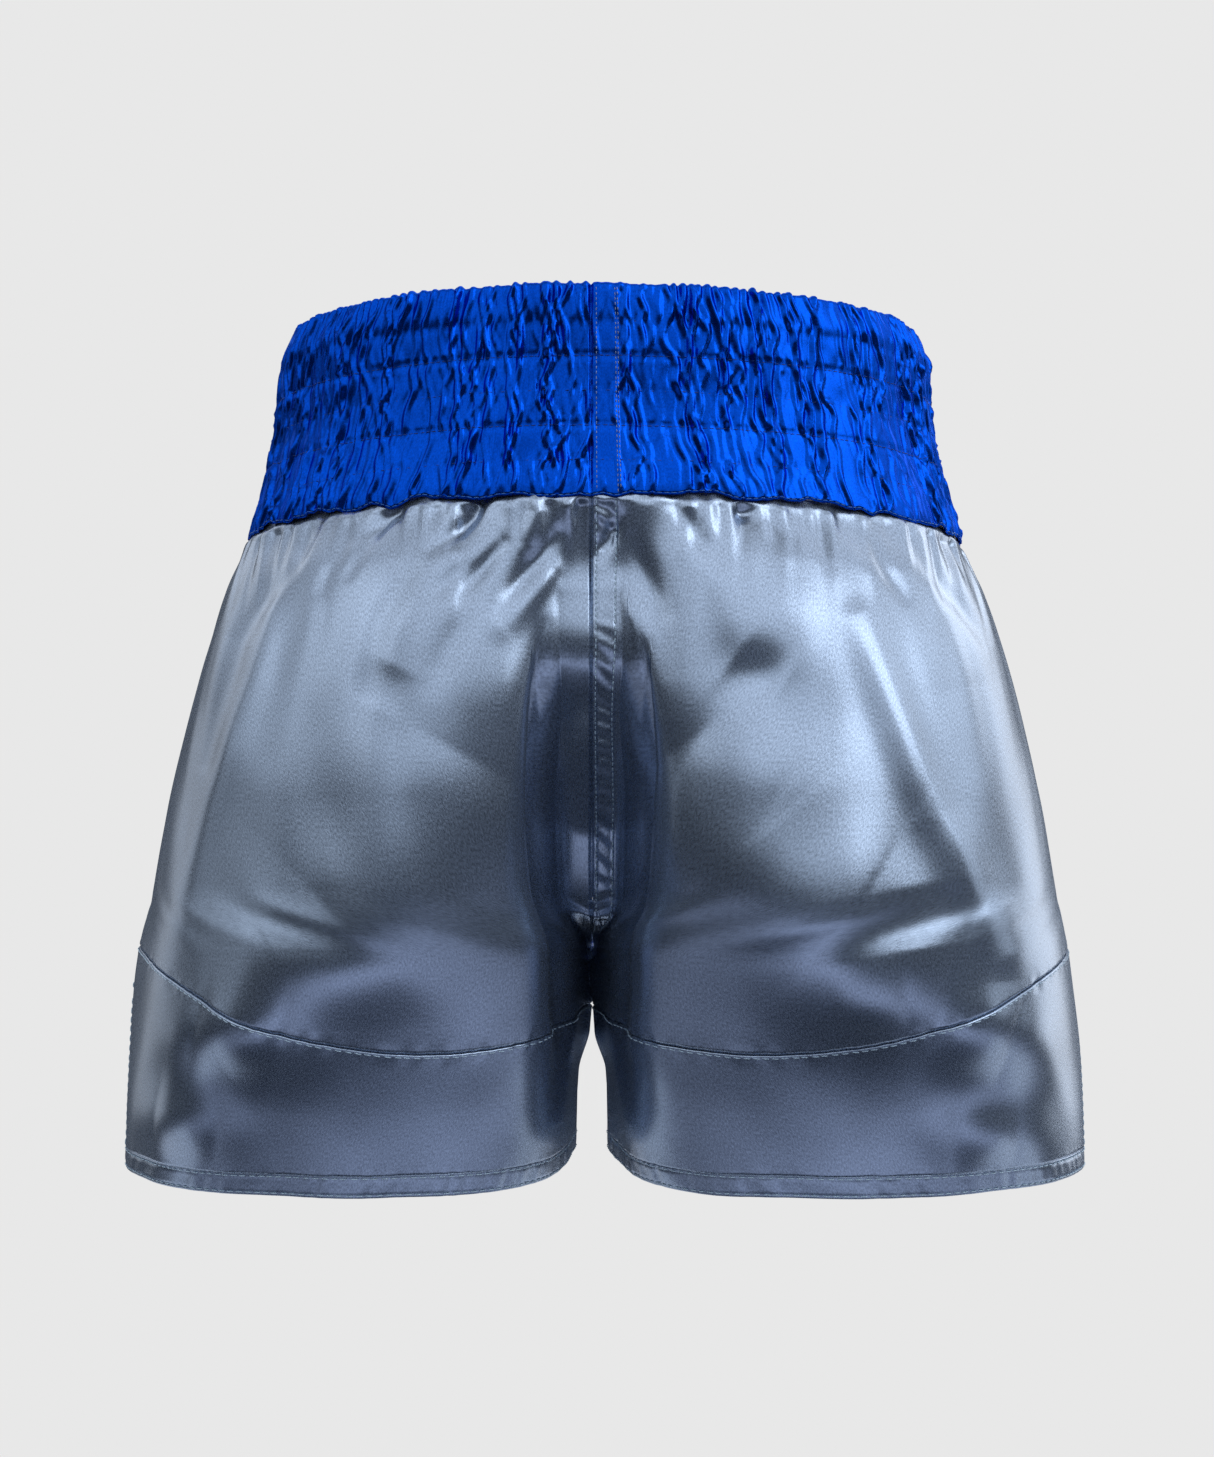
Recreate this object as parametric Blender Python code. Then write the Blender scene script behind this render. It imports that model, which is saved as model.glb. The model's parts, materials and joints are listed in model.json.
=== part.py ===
"""Muay Thai boxing shorts, shaped as they hang when worn, in metres.

+Z is up, the back faces -Y and +X is the wearer's right. The origin is the middle of the waist opening.
The garment is a set of separate cut pieces that lie one behind the other or edge to edge, with a small
gap wherever a line of thread would hold them. Two surfaces place every piece:

- the waistband, a ring of ellipses that widens downwards and leans forwards;
- one half of the body, from waistband to hem. u runs round that half from its centre back (0) past the
  side seam (0.5) to its centre front (1). Below the crotch the half is a closed leg, so u 0 and u 1 are
  one line there, the inseam. A level is a height at the side seam.

Both are given for the +X half, and the other half is its mirror image. A depth is measured inwards from
the outermost cloth.
"""

import math

import bmesh
import bpy
import numpy as np
from mathutils import Matrix, Vector

MM = 0.001

# Cloth
SATIN = 0.6 * MM
GAP = 0.8 * MM  # between two pieces that meet edge to edge
BODY_DEPTH = 1.2 * MM  # the body's cloth lies under the waistband's hem and inside the bindings
SMOOTH_ANGLE = math.radians(40)

# Waistband. Each row is a level, then half its width, its depth behind and its depth in front, in mm
BAND_PROFILE = (
    (0.0, 135.0, 100.0, 98.0),
    (-17.0, 138.0, 103.0, 100.0),
    (-43.0, 140.5, 107.0, 102.5),
    (-69.0, 146.6, 112.0, 105.5),
    (-89.0, 153.0, 117.0, 108.0),
)
BAND_TILT = 0.14  # rise per metre towards the back
BAND_BOTTOM = -89.0 * MM
CHANNELS = 6
CHANNEL_BULGE = 2.0 * MM
POINTS_PER_CHANNEL = 2
CASING_TURN = 1.2 * MM  # height of the turn over the top edge
CASING_INNER = 4.3 * MM  # depth of the casing's inner wall
ELASTIC_DEPTH = 2.9 * MM
ELASTIC_THICK = 1.0 * MM
ELASTIC_TALL = 10.0 * MM
BODY_TUCK = 6.0 * MM  # body cloth that runs up inside the waistband

# Body. The same thirteen guide lines run down every section, in this order: centre back, recess, fold,
# inner back, mid back, outer back, side, outer front, mid front, inner front, fold, recess, centre front
GUIDES = (0.0, 0.079, 0.152, 0.214, 0.289, 0.381, 0.5, 0.613, 0.71, 0.796, 0.86, 0.928, 1.0)
GUIDE_ANGLES = (0.0, 5.0, 11.5, 25.0, 44.5, 66.0, 90.0, 115.5, 136.5, 155.0, 168.5, 175.0, 180.0)

# Each section, in mm: level, tilt, how far the centre seam hangs below it, and x, y at each guide line
SECTIONS = (
    (-115, 0.13, 0,
     ((0, -114), (12, -115.5), (27, -119.5), (63, -121), (110, -103), (148, -61), (163.5, 0),
      (148, 52), (110, 90), (63, 110), (28, 114), (12, 114), (0, 113))),
    (-140, 0.11, 0,
     ((0, -117), (13, -117.5), (28, -122), (64, -131), (113, -115), (154, -71), (171.5, 0),
      (154, 60), (113, 98), (64, 116), (28, 118), (12, 116), (0, 113))),
    (-170, 0.08, 3,
     ((0, -107), (15, -110.5), (29.5, -123), (65, -137), (115, -125), (160, -80), (179, 0),
      (160, 66), (115, 103), (65, 119), (28, 118), (12, 112), (0, 106))),
    (-200, 0.05, 9,
     ((0, -93), (16, -100), (30, -121), (66, -140), (117, -132), (165, -87), (186, 0),
      (165, 70), (117, 106), (66, 119), (27, 114), (11, 103), (0, 92))),
    (-230, 0.0, 15,
     ((0, -76), (14, -86), (27, -115), (63, -139), (116, -137), (168, -93), (191, 0),
      (168, 72), (116, 106), (63, 116), (24, 106), (9, 84), (0, 60))),
    (-258, 0.0, 4,
     ((0, 4), (7, -54), (18, -108), (57, -134), (114, -138), (171, -98), (196, 0),
      (171, 72), (114, 104), (58, 112), (18, 96), (5, 52), (0, 4))),
    (-285, -0.01, 0,
     ((4, 4), (7, -52), (18, -102), (56, -126), (112, -131), (172, -98), (199.5, 0),
      (172, 71), (112, 101), (57, 107), (19, 88), (7, 48), (4, 4))),
    (-320, -0.02, -4,
     ((6, 4), (10, -48), (23, -92), (60, -115), (111, -119), (174, -88), (203, 0),
      (174, 69), (111, 99), (60, 101), (24, 82), (10, 46), (6, 4))),
    (-353, -0.035, -8,
     ((8, 4), (12, -46), (29, -86), (64, -106), (110, -109), (174, -78), (205, 0),
      (174, 68), (110, 97), (64, 96), (29, 78), (12, 44), (8, 4))),
)
SEAM_DROP_SHARE = (1.0, 0.5, 0.12, 0, 0, 0, 0, 0, 0, 0, 0.12, 0.5, 1.0)
HEM = -353.0 * MM
CROTCH = -258.0 * MM
U_PER_METRE = 1.35  # on average, round one half

# Where every piece of the back has a column of its grid, in u, closer together round the fold. Pieces
# that lie one behind the other bend at the same places, and the front's columns mirror the back's
COLUMNS = (0.055, 0.1, 0.135, 0.165, 0.205, 0.26, 0.32, 0.385, 0.44, 0.476)
PANEL_COLUMNS = len(COLUMNS) + 1

# The rows of a panel's grid, as shares of its height: close together at the gusset and the waistband
PANEL_ROWS = (0.0, 0.035, 0.08, 0.13, 0.19, 0.26, 0.34, 0.43, 0.53, 0.64, 0.76, 0.88, 0.965, 1.0)
HEM_PANEL_ROWS = (0.0, 0.08, 0.17, 0.42, 0.7, 1.0)

# Gusset between the legs, a diamond with soft corners
GUSSET_MIDDLE = -251.0 * MM
GUSSET_REACH = 29.0 * MM
GUSSET_HALF_WIDTH = 0.03  # in u
GUSSET_LEVELS = (-278.0 * MM, CROTCH, -224.0 * MM)
GUSSET_SEAM = 0.0025  # in u, between the gusset and the panels

# The curved seam above the hem, from the inseam behind to the inseam in front: u and level in mm
YOKE = ((0.0, -286), (0.152, -291), (0.214, -295.5), (0.289, -290), (0.381, -271), (0.5, -260),
        (0.613, -271), (0.71, -290), (0.796, -295), (0.86, -291), (1.0, -286))

# Folded bindings that close the hem and the slit
BINDING = 0.5 * MM
BINDING_WALLS = (0.25 * MM, 2.15 * MM)  # depth of the outer and the inner wall
BINDING_TURNS = 4
HEM_BINDING = 9.0 * MM
SLIT_BINDING = 6.0 * MM
SLIT_TOP = -278.0 * MM
SLIT_HALF_OPENING = 0.009  # in u, at the hem
EDGE_ROOM = 1.0 * MM  # from a panel's edge to the inside of its binding's fold

# Small pieces
BARTACK = (10.0 * MM, 2.4 * MM, 0.8 * MM)
BARTACK_DEPTH = 0.2 * MM
SIZE_LABEL = (36.0 * MM, 24.0 * MM)
CARE_LABEL = (24.0 * MM, 48.0 * MM)
LABEL_CLOTH = 0.5 * MM
SIZE_LABEL_DEPTH = 5.3 * MM
CARE_LABEL_DEPTH = 2.6 * MM
BUTTONHOLE = (5.0 * MM, 15.0 * MM, 0.8 * MM)
BUTTONHOLE_SLOT = (1.8 * MM, 10.0 * MM)
BUTTONHOLE_X = 15.0 * MM
BUTTONHOLE_LEVEL = -44.5 * MM
BUTTONHOLE_DEPTH = 5.4 * MM
ROUND_END_POINTS = 7

SIDES = {"left": -1, "right": 1}


# ---------------------------------------------------------------- curves and surfaces


def spline_weights(knots, at):
    """Matrix that turns values at the knots into a natural cubic spline's values at the given points."""
    knots = np.asarray(knots, float)
    count = len(knots)
    step = np.diff(knots)
    identity = np.eye(count)
    system = np.eye(count)
    right = np.zeros((count, count))
    for k in range(1, count - 1):
        system[k, k - 1 : k + 2] = step[k - 1], 2 * (step[k - 1] + step[k]), step[k]
        rise = (identity[k + 1] - identity[k]) / step[k]
        right[k] = 6 * (rise - (identity[k] - identity[k - 1]) / step[k - 1])
    bend = np.linalg.solve(system, right)
    span = np.clip(np.searchsorted(knots, at, side="right") - 1, 0, count - 2)
    width = step[span][:, None]
    left = (knots[span + 1] - at)[:, None]
    gone = (at - knots[span])[:, None]
    curved = (bend[span] * left**3 + bend[span + 1] * gone**3) / (6 * width)
    from_start = (identity[span] / width - bend[span] * width / 6) * left
    from_end = (identity[span + 1] / width - bend[span + 1] * width / 6) * gone
    return curved + from_start + from_end


def monotone(knots, values, at):
    """Smooth curves that never overshoot. values is (knots, curves, axes) and at has one entry per curve."""
    step = np.diff(knots)[:, None, None]
    slope = np.diff(values, axis=0) / step
    tangent = np.empty_like(values)
    tangent[0], tangent[-1] = slope[0], slope[-1]
    before, after = 2 * step[1:] + step[:-1], step[1:] + 2 * step[:-1]
    same_way = slope[:-1] * slope[1:] > 0
    low = np.where(same_way, slope[:-1], 1)
    high = np.where(same_way, slope[1:], 1)
    tangent[1:-1] = np.where(same_way, (before + after) / (before / low + after / high), 0)
    span = np.clip(np.searchsorted(knots, at, side="right") - 1, 0, len(knots) - 2)
    curve = np.arange(len(at))
    width = (knots[span + 1] - knots[span])[:, None]
    t = (at - knots[span])[:, None] / width
    start = (2 * t**3 - 3 * t**2 + 1) * values[span, curve]
    end = (3 * t**2 - 2 * t**3) * values[span + 1, curve]
    start_slope = (t**3 - 2 * t**2 + t) * width * tangent[span, curve]
    end_slope = (t**3 - t**2) * width * tangent[span + 1, curve]
    return start + end + start_slope + end_slope


def band_surface(angles, levels):
    """Points on the waistband's outside. Angle 0 is the centre back and pi is the centre front."""
    table = np.array(BAND_PROFILE)[::-1] * MM
    values = np.repeat(table[:, None, 1:], len(levels), axis=1)
    wide, behind, before = monotone(table[:, 0], values, levels).T
    y = -np.cos(angles) * np.where(np.cos(angles) > 0, behind, before)
    return np.stack([wide * np.sin(angles), y, levels - BAND_TILT * y], axis=1)


def section_points(level, tilt, seam_drop, points):
    """A section's guide points in metres, leaned by its tilt and lowered along the centre seam."""
    points = np.array(points, float) * MM
    drop = seam_drop * MM * np.array(SEAM_DROP_SHARE)
    return np.column_stack([points, level * MM - tilt * points[:, 1] - drop])


def body_sections():
    """Levels rising from hem to waist, and the guide points of each."""
    found = [(section[0] * MM, section_points(*section)) for section in SECTIONS]
    angles = np.radians(GUIDE_ANGLES)
    for level in (BAND_BOTTOM, BAND_BOTTOM + BODY_TUCK):
        found.append((level, band_surface(angles, np.full(len(angles), level))))
    found.sort(key=lambda section: section[0])
    return np.array([level for level, points in found]), np.array([points for level, points in found])


BODY_LEVELS, BODY_GUIDES = body_sections()


def body_surface(u, levels):
    """Points on the outside of the body."""
    at_sections = np.einsum("pg,sgk->spk", spline_weights(GUIDES, u), BODY_GUIDES)
    return monotone(BODY_LEVELS, at_sections, levels)


def sunk(surface, first, level, depth):
    """Points of a surface moved inwards by depth, along normals found from points close by."""
    near = 1e-4
    round_it = surface(first + near, level) - surface(first - near, level)
    up_it = surface(first, level + near) - surface(first, level - near)
    normal = np.cross(round_it, up_it)
    normal /= np.linalg.norm(normal, axis=1)[:, None]
    return surface(first, level) - normal * depth[:, None]


def band_point(angles, levels, depth):
    return sunk(band_surface, *(np.ravel(x) for x in np.broadcast_arrays(angles, levels, depth)))


def body_point(u, levels, depth):
    return sunk(body_surface, *(np.ravel(x) for x in np.broadcast_arrays(u, levels, depth)))


def yoke_level(u):
    """Level of the curved seam above the hem."""
    knots, levels = np.array(YOKE).T
    return spline_weights(knots, u) @ levels * MM


def gusset_edge(levels):
    """The gusset's reach from its middle line in u, negative beyond its corners."""
    return GUSSET_HALF_WIDTH * (1 - ((levels - GUSSET_MIDDLE) / GUSSET_REACH) ** 2)


def slit_edge(levels):
    """How far the side edge of a panel lies from the side seam's line, in u."""
    share = np.clip((SLIT_TOP - levels) / (SLIT_TOP - HEM), 0, 1)
    return GAP / 2 * U_PER_METRE + SLIT_HALF_OPENING * share


# ---------------------------------------------------------------- materials


def material(name, colour, roughness, metallic=0.0):
    made = bpy.data.materials.new(name)
    made.use_nodes = True
    shader = made.node_tree.nodes["Principled BSDF"]
    shader.inputs["Base Color"].default_value = (*colour, 1)
    shader.inputs["Roughness"].default_value = roughness
    shader.inputs["Metallic"].default_value = metallic
    return made


def make_materials():
    return {
        "blue": material("blue_satin", (0.005, 0.09, 0.62), 0.34),
        "steel": material("steel_satin", (0.17, 0.24, 0.36), 0.36),
        "elastic": material("elastic", (0.82, 0.82, 0.80), 0.85),
        "thread": material("thread", (0.16, 0.24, 0.32), 0.6),
        "label": material("label", (0.88, 0.88, 0.86), 0.7),
    }


# ---------------------------------------------------------------- mesh helpers


def add_object(name, shape, cloth, parent):
    """Turn a bmesh into a named object."""
    mesh = bpy.data.meshes.new(name)
    shape.to_mesh(mesh)
    shape.free()
    mesh.materials.append(cloth)
    mesh.shade_smooth()
    mesh.set_sharp_from_angle(angle=SMOOTH_ANGLE)
    obj = bpy.data.objects.new(name, mesh)
    obj.parent = parent
    bpy.context.scene.collection.objects.link(obj)
    return obj


def add_patch(shape, columns, rows, side, place):
    """A grid of cloth. place takes the shares of the way across and up it, and gives points in metres."""
    made = bmesh.ops.create_grid(shape, x_segments=columns, y_segments=rows, size=0.5)["verts"]
    shares = np.array([vert.co for vert in made]) + 0.5
    points = place(shares[:, 0], shares[:, 1]) * (side, 1, 1)
    for vert, point in zip(made, points):
        vert.co = point


def give_thickness(obj, thick):
    """Cloth lies half on each side of its grid."""
    solidify = obj.modifiers.new("Cloth thickness", "SOLIDIFY")
    solidify.thickness = thick
    solidify.offset = 0
    solidify.use_even_offset = True


def add_sheet(name, columns, rows, side, place, thick, cloth, parent):
    shape = bmesh.new()
    add_patch(shape, columns, rows, side, place)
    obj = add_object(name, shape, cloth, parent)
    give_thickness(obj, thick)
    return obj


def both_faces():
    """The columns of a whole half, from behind to in front, without the side seam and the centre lines."""
    return np.concatenate([COLUMNS, [0.5], 1 - np.array(COLUMNS[::-1])])


def at_stops(stops, shares):
    """Values at shares of the way through a list of stops."""
    return np.interp(shares, np.linspace(0, 1, len(stops)), stops)


def across_face(start, end, shares):
    """u across a panel: the usual columns, between edges that may differ from row to row."""
    columns = at_stops((0.0, *COLUMNS, 0.5), shares)
    u = np.where(shares == 0, start, columns)
    return np.where(shares == 1, end, u)


def along(path, shares):
    """Points along a path, at shares of the way through its list of points."""
    path = np.array(path)
    steps = np.linspace(0, 1, len(path))
    return [np.interp(shares, steps, values) for values in path.T]


# ---------------------------------------------------------------- waistband


def band_angle(u):
    """The waistband's angle that continues a line of the body."""
    return np.radians(spline_weights(GUIDES, u) @ np.array(GUIDE_ANGLES))


def casing_path():
    """Level and depth along the casing's strip: up the inner wall, over the top and down the outside."""
    top = -CASING_TURN
    path = [(BAND_BOTTOM + GAP, CASING_INNER)]
    path += [(row[0] * MM, CASING_INNER) for row in BAND_PROFILE[-2:0:-1]]
    path += [(top, CASING_INNER), (-0.3 * CASING_TURN, CASING_INNER * 0.85), (0.0, CASING_INNER * 0.5)]
    points = CHANNELS * POINTS_PER_CHANNEL
    for k in range(points + 1):
        share = k / points
        bulge = CHANNEL_BULGE * abs(math.sin(math.pi * CHANNELS * share))
        path.append((top + (BAND_BOTTOM - top) * share, -bulge))
    return path


def add_casings(materials, parent):
    """The satin of the waistband: two strips, each folded over the elastics, that meet front and back."""
    path = casing_path()
    seam = GAP / 2 / (BAND_PROFILE[0][1] * MM)
    angles = np.concatenate([[seam], band_angle(both_faces()), [math.pi - seam]])

    def place(across, up):
        level, depth = along(path, up)
        return band_point(at_stops(angles, across), level, depth)

    casings = {}
    for side_name, side in SIDES.items():
        name = f"waistband_casing_{side_name}"
        casings[side_name] = add_sheet(
            name, len(angles) - 1, len(path) - 1, side, place, SATIN, materials["blue"], parent
        )
    return casings


def add_elastics(materials, parent):
    """One closed ring of flat elastic in each channel."""
    channel = (-BAND_BOTTOM - CASING_TURN) / CHANNELS
    one_half = band_angle(both_faces())
    angles = np.concatenate([[0], one_half, [math.pi], 2 * math.pi - one_half[::-1]])
    low, high = ELASTIC_DEPTH - ELASTIC_THICK / 2, ELASTIC_DEPTH + ELASTIC_THICK / 2
    for k in range(CHANNELS):
        middle = -CASING_TURN - channel * (k + 0.5)
        bottom, top = middle - ELASTIC_TALL / 2, middle + ELASTIC_TALL / 2
        shape = bmesh.new()
        rings = []
        for level, depth in ((bottom, low), (top, low), (top, high), (bottom, high)):
            rings.append([shape.verts.new(point) for point in band_point(angles, level, depth)])
        for ring, beside in zip(rings, rings[1:] + rings[:1]):
            for j in range(len(ring)):
                n = (j + 1) % len(ring)
                shape.faces.new((ring[j], ring[n], beside[n], beside[j]))
        bmesh.ops.recalc_face_normals(shape, faces=shape.faces)
        add_object(f"elastic_band_{k + 1}", shape, materials["elastic"], parent)


def wall_frame(x, level, depth):
    """Matrix whose Z axis points inwards from the front of the waistband, and whose Y axis runs up it."""
    angle = math.pi - math.asin(x / (BAND_PROFILE[2][1] * MM))
    here, deeper = (Vector(band_point(angle, level, d)[0]) for d in (depth, depth + MM))
    above = Vector(band_point(angle, level + MM, depth)[0])
    inwards = (deeper - here).normalized()
    upwards = (above - here).normalized()
    frame = Matrix((upwards.cross(inwards), upwards, inwards)).transposed().to_4x4()
    return Matrix.Translation(here) @ frame


def round_ended_outline(wide, tall):
    """Outline of an upright slot with round ends, anticlockwise."""
    radius = wide / 2
    outline = []
    for end, start in ((1, 0.0), (-1, math.pi)):
        for turn in np.linspace(start, start + math.pi, ROUND_END_POINTS):
            outline.append((radius * math.cos(turn), end * (tall / 2 - radius) + radius * math.sin(turn)))
    return outline


def slot_solid(wide, tall, thick):
    """A block with round ends, centred on the origin."""
    shape = bmesh.new()
    outline = round_ended_outline(wide, tall)
    face = shape.faces.new([shape.verts.new((x, y, -thick / 2)) for x, y in outline])
    extruded = bmesh.ops.extrude_face_region(shape, geom=[face])["geom"]
    top = [v for v in extruded if isinstance(v, bmesh.types.BMVert)]
    bmesh.ops.translate(shape, vec=(0, 0, thick), verts=top)
    bmesh.ops.recalc_face_normals(shape, faces=shape.faces)
    return shape


def add_cutter(name, shape, matrix, target, parent):
    cutter_mesh = bpy.data.meshes.new(name)
    shape.to_mesh(cutter_mesh)
    shape.free()
    cutter = bpy.data.objects.new(name, cutter_mesh)
    bpy.context.scene.collection.objects.link(cutter)
    cutter.parent = parent
    cutter.matrix_local = matrix
    cutter.hide_render = True
    cutter.display_type = "WIRE"
    cut = target.modifiers.new(name, "BOOLEAN")
    cut.operation = "DIFFERENCE"
    cut.solver = "EXACT"
    cut.object = cutter
    return cutter


def add_buttonholes(materials, casings, parent):
    """Two worked holes in the casing's inner wall, at the front, where a drawcord would come out."""
    wide, tall, thick = BUTTONHOLE
    for side_name, side in SIDES.items():
        mirror = Matrix.Diagonal((side, 1, 1, 1))
        wall = mirror @ wall_frame(BUTTONHOLE_X, BUTTONHOLE_LEVEL, CASING_INNER) @ mirror
        ring = mirror @ wall_frame(BUTTONHOLE_X, BUTTONHOLE_LEVEL, BUTTONHOLE_DEPTH) @ mirror
        through = slot_solid(*BUTTONHOLE_SLOT, 2 * SATIN)
        add_cutter(f"cut_wall_{side_name}", through, wall, casings[side_name], parent)
        name = f"drawcord_buttonhole_{side_name}"
        obj = add_object(name, slot_solid(wide, tall, thick), materials["thread"], parent)
        obj.matrix_local = ring
        add_cutter(f"cut_ring_{side_name}", slot_solid(*BUTTONHOLE_SLOT, 2 * thick), ring, obj, parent)


# ---------------------------------------------------------------- body and hem


def panel_place(front, rows_from, rows_to, inner_edge, side_edge, rows):
    """Place a panel. Its top and bottom are functions of u, and its two edges are functions of the level."""

    def place(across, up):
        up = at_stops(rows, up)
        edge = np.where(across < 0.5, 0.0, 0.5)
        edge_level = rows_to(edge) + (rows_from(edge) - rows_to(edge)) * up
        u = across_face(inner_edge(edge_level), 0.5 - side_edge(edge_level), across)
        level = rows_to(u) + (rows_from(u) - rows_to(u)) * up
        return body_point(1 - u if front else u, level, BODY_DEPTH)

    return place


def add_panels(materials, parent):
    """Four large panels, from inside the waistband down to the curved seam."""

    def top(u):
        return np.full(len(u), BAND_BOTTOM + BODY_TUCK)

    def inner_edge(levels):
        return GAP / 2 * U_PER_METRE + np.maximum(0, gusset_edge(levels) + GUSSET_SEAM)

    def side_edge(levels):
        return np.full(len(levels), GAP / 2 * U_PER_METRE)

    for face, front in (("back", False), ("front", True)):

        def bottom(u, front=front):
            return yoke_level(1 - u if front else u) + GAP / 2

        place = panel_place(front, top, bottom, inner_edge, side_edge, PANEL_ROWS)
        for side_name, side in SIDES.items():
            name = f"{face}_panel_{side_name}"
            add_sheet(
                name, PANEL_COLUMNS, len(PANEL_ROWS) - 1, side, place, SATIN, materials["steel"], parent
            )


def add_gusset(materials, parent):
    """The diamond between the legs: four quarters of one piece of cloth."""
    shape = bmesh.new()
    for side in SIDES.values():
        for front in (False, True):

            def place(across, up, front=front):
                levels = np.interp(up, (0, 0.4, 1), GUSSET_LEVELS)
                u = gusset_edge(levels) * across
                return body_surface(1 - u if front else u, levels)

            add_patch(shape, 4, 10, side, place)
    bmesh.ops.remove_doubles(shape, verts=shape.verts, dist=1e-5)
    bmesh.ops.recalc_face_normals(shape, faces=shape.faces)
    obj = add_object("crotch_gusset", shape, materials["steel"], parent)
    give_thickness(obj, SATIN)


def inseam_edge(levels):
    return np.full(len(levels), GAP / 2 * U_PER_METRE)


def add_hem_panels(materials, parent):
    """Four shaped panels between the curved seam and the hem, open at the side slit."""

    def bottom(u):
        return np.full(len(u), HEM + BINDING / 2 + EDGE_ROOM)

    def side_edge(levels):
        return slit_edge(levels) + EDGE_ROOM * U_PER_METRE

    for face, front in (("back", False), ("front", True)):

        def top(u, front=front):
            return yoke_level(1 - u if front else u) - GAP / 2

        place = panel_place(front, top, bottom, inseam_edge, side_edge, HEM_PANEL_ROWS)
        for side_name, side in SIDES.items():
            name = f"{face}_hem_panel_{side_name}"
            add_sheet(
                name, PANEL_COLUMNS, len(HEM_PANEL_ROWS) - 1, side, place, SATIN, materials["steel"], parent
            )


def binding_path(reach):
    """Distance from the folded edge and depth, along a strip folded over an edge."""
    outer, inner = BINDING_WALLS
    middle, radius = (outer + inner) / 2, (inner - outer) / 2
    path = [(reach, outer)]
    for turn in np.linspace(0, math.pi, BINDING_TURNS + 1):
        path.append((radius * (1 - math.sin(turn)), middle - radius * math.cos(turn)))
    return path + [(reach, inner)]


def add_hem_bindings(materials, parent):
    """A folded strip along the bottom edge of each hem panel, from the inseam to the slit's binding."""
    path = binding_path(HEM_BINDING)
    start = GAP / 2 * U_PER_METRE
    end = 0.5 - slit_edge(np.array([HEM]))[0] - (SLIT_BINDING + GAP) * U_PER_METRE
    for face, front in (("back", False), ("front", True)):

        def place(across, up, front=front):
            distance, depth = along(path, up)
            u = across_face(start, end, across)
            return body_point(1 - u if front else u, HEM + distance, depth)

        for side_name, side in SIDES.items():
            name = f"hem_binding_{face}_{side_name}"
            add_sheet(name, PANEL_COLUMNS, len(path) - 1, side, place, BINDING, materials["steel"], parent)


def add_slit_bindings(materials, parent):
    """A folded strip up each edge of the side slit."""
    path = binding_path(SLIT_BINDING)
    for face, front in (("back", False), ("front", True)):

        def place(across, up, front=front):
            distance, depth = along(path, up)
            levels = HEM + (SLIT_TOP - GAP - HEM) * across
            u = 0.5 - slit_edge(levels) - distance * U_PER_METRE
            return body_point(1 - u if front else u, levels, depth)

        for side_name, side in SIDES.items():
            name = f"slit_binding_{face}_{side_name}"
            add_sheet(name, 4, len(path) - 1, side, place, BINDING, materials["steel"], parent)


def add_bartacks(materials, parent):
    """A short bar of thread across the top of each slit."""
    wide, tall, thick = BARTACK

    def place(across, up):
        u = 0.5 + (across - 0.5) * wide * U_PER_METRE
        return body_point(u, SLIT_TOP + tall * up, BARTACK_DEPTH)

    for side_name, side in SIDES.items():
        add_sheet(f"slit_bartack_{side_name}", 3, 1, side, place, thick, materials["thread"], parent)


def add_labels(materials, parent):
    """A blank size label inside the back of the waistband, and a blank care label at the left side seam."""

    def size_place(across, up):
        angles = (across - 0.5) * SIZE_LABEL[0] / (BAND_PROFILE[2][1] * MM)
        return band_point(angles, BAND_BOTTOM / 2 + SIZE_LABEL[1] * (up - 0.5), SIZE_LABEL_DEPTH)

    def care_place(across, up):
        u = 0.5 + (across - 0.5) * CARE_LABEL[0] * U_PER_METRE
        return body_point(u, BAND_BOTTOM - GAP * 2 - CARE_LABEL[1] * (1 - up), CARE_LABEL_DEPTH)

    add_sheet("size_label", 6, 1, 1, size_place, LABEL_CLOTH, materials["label"], parent)
    add_sheet("care_label", 3, 4, SIDES["left"], care_place, LABEL_CLOTH, materials["label"], parent)


# ---------------------------------------------------------------- garment


def main():
    for obj in list(bpy.data.objects):
        bpy.data.objects.remove(obj)
    garment = bpy.data.objects.new("boxing_shorts", None)
    bpy.context.scene.collection.objects.link(garment)
    materials = make_materials()
    casings = add_casings(materials, garment)
    add_elastics(materials, garment)
    add_buttonholes(materials, casings, garment)
    add_panels(materials, garment)
    add_gusset(materials, garment)
    add_hem_panels(materials, garment)
    add_hem_bindings(materials, garment)
    add_slit_bindings(materials, garment)
    add_bartacks(materials, garment)
    add_labels(materials, garment)


main()
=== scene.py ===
"""The looks of a pair of satin boxing shorts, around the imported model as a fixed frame.

Every length is in metres unless its name or comment says mm. The surfaces that the cloth lies on are the
ones that the solids follow. Relief in mm is then added along the cloth's normal: gathers, folds, seams.
"""

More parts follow.
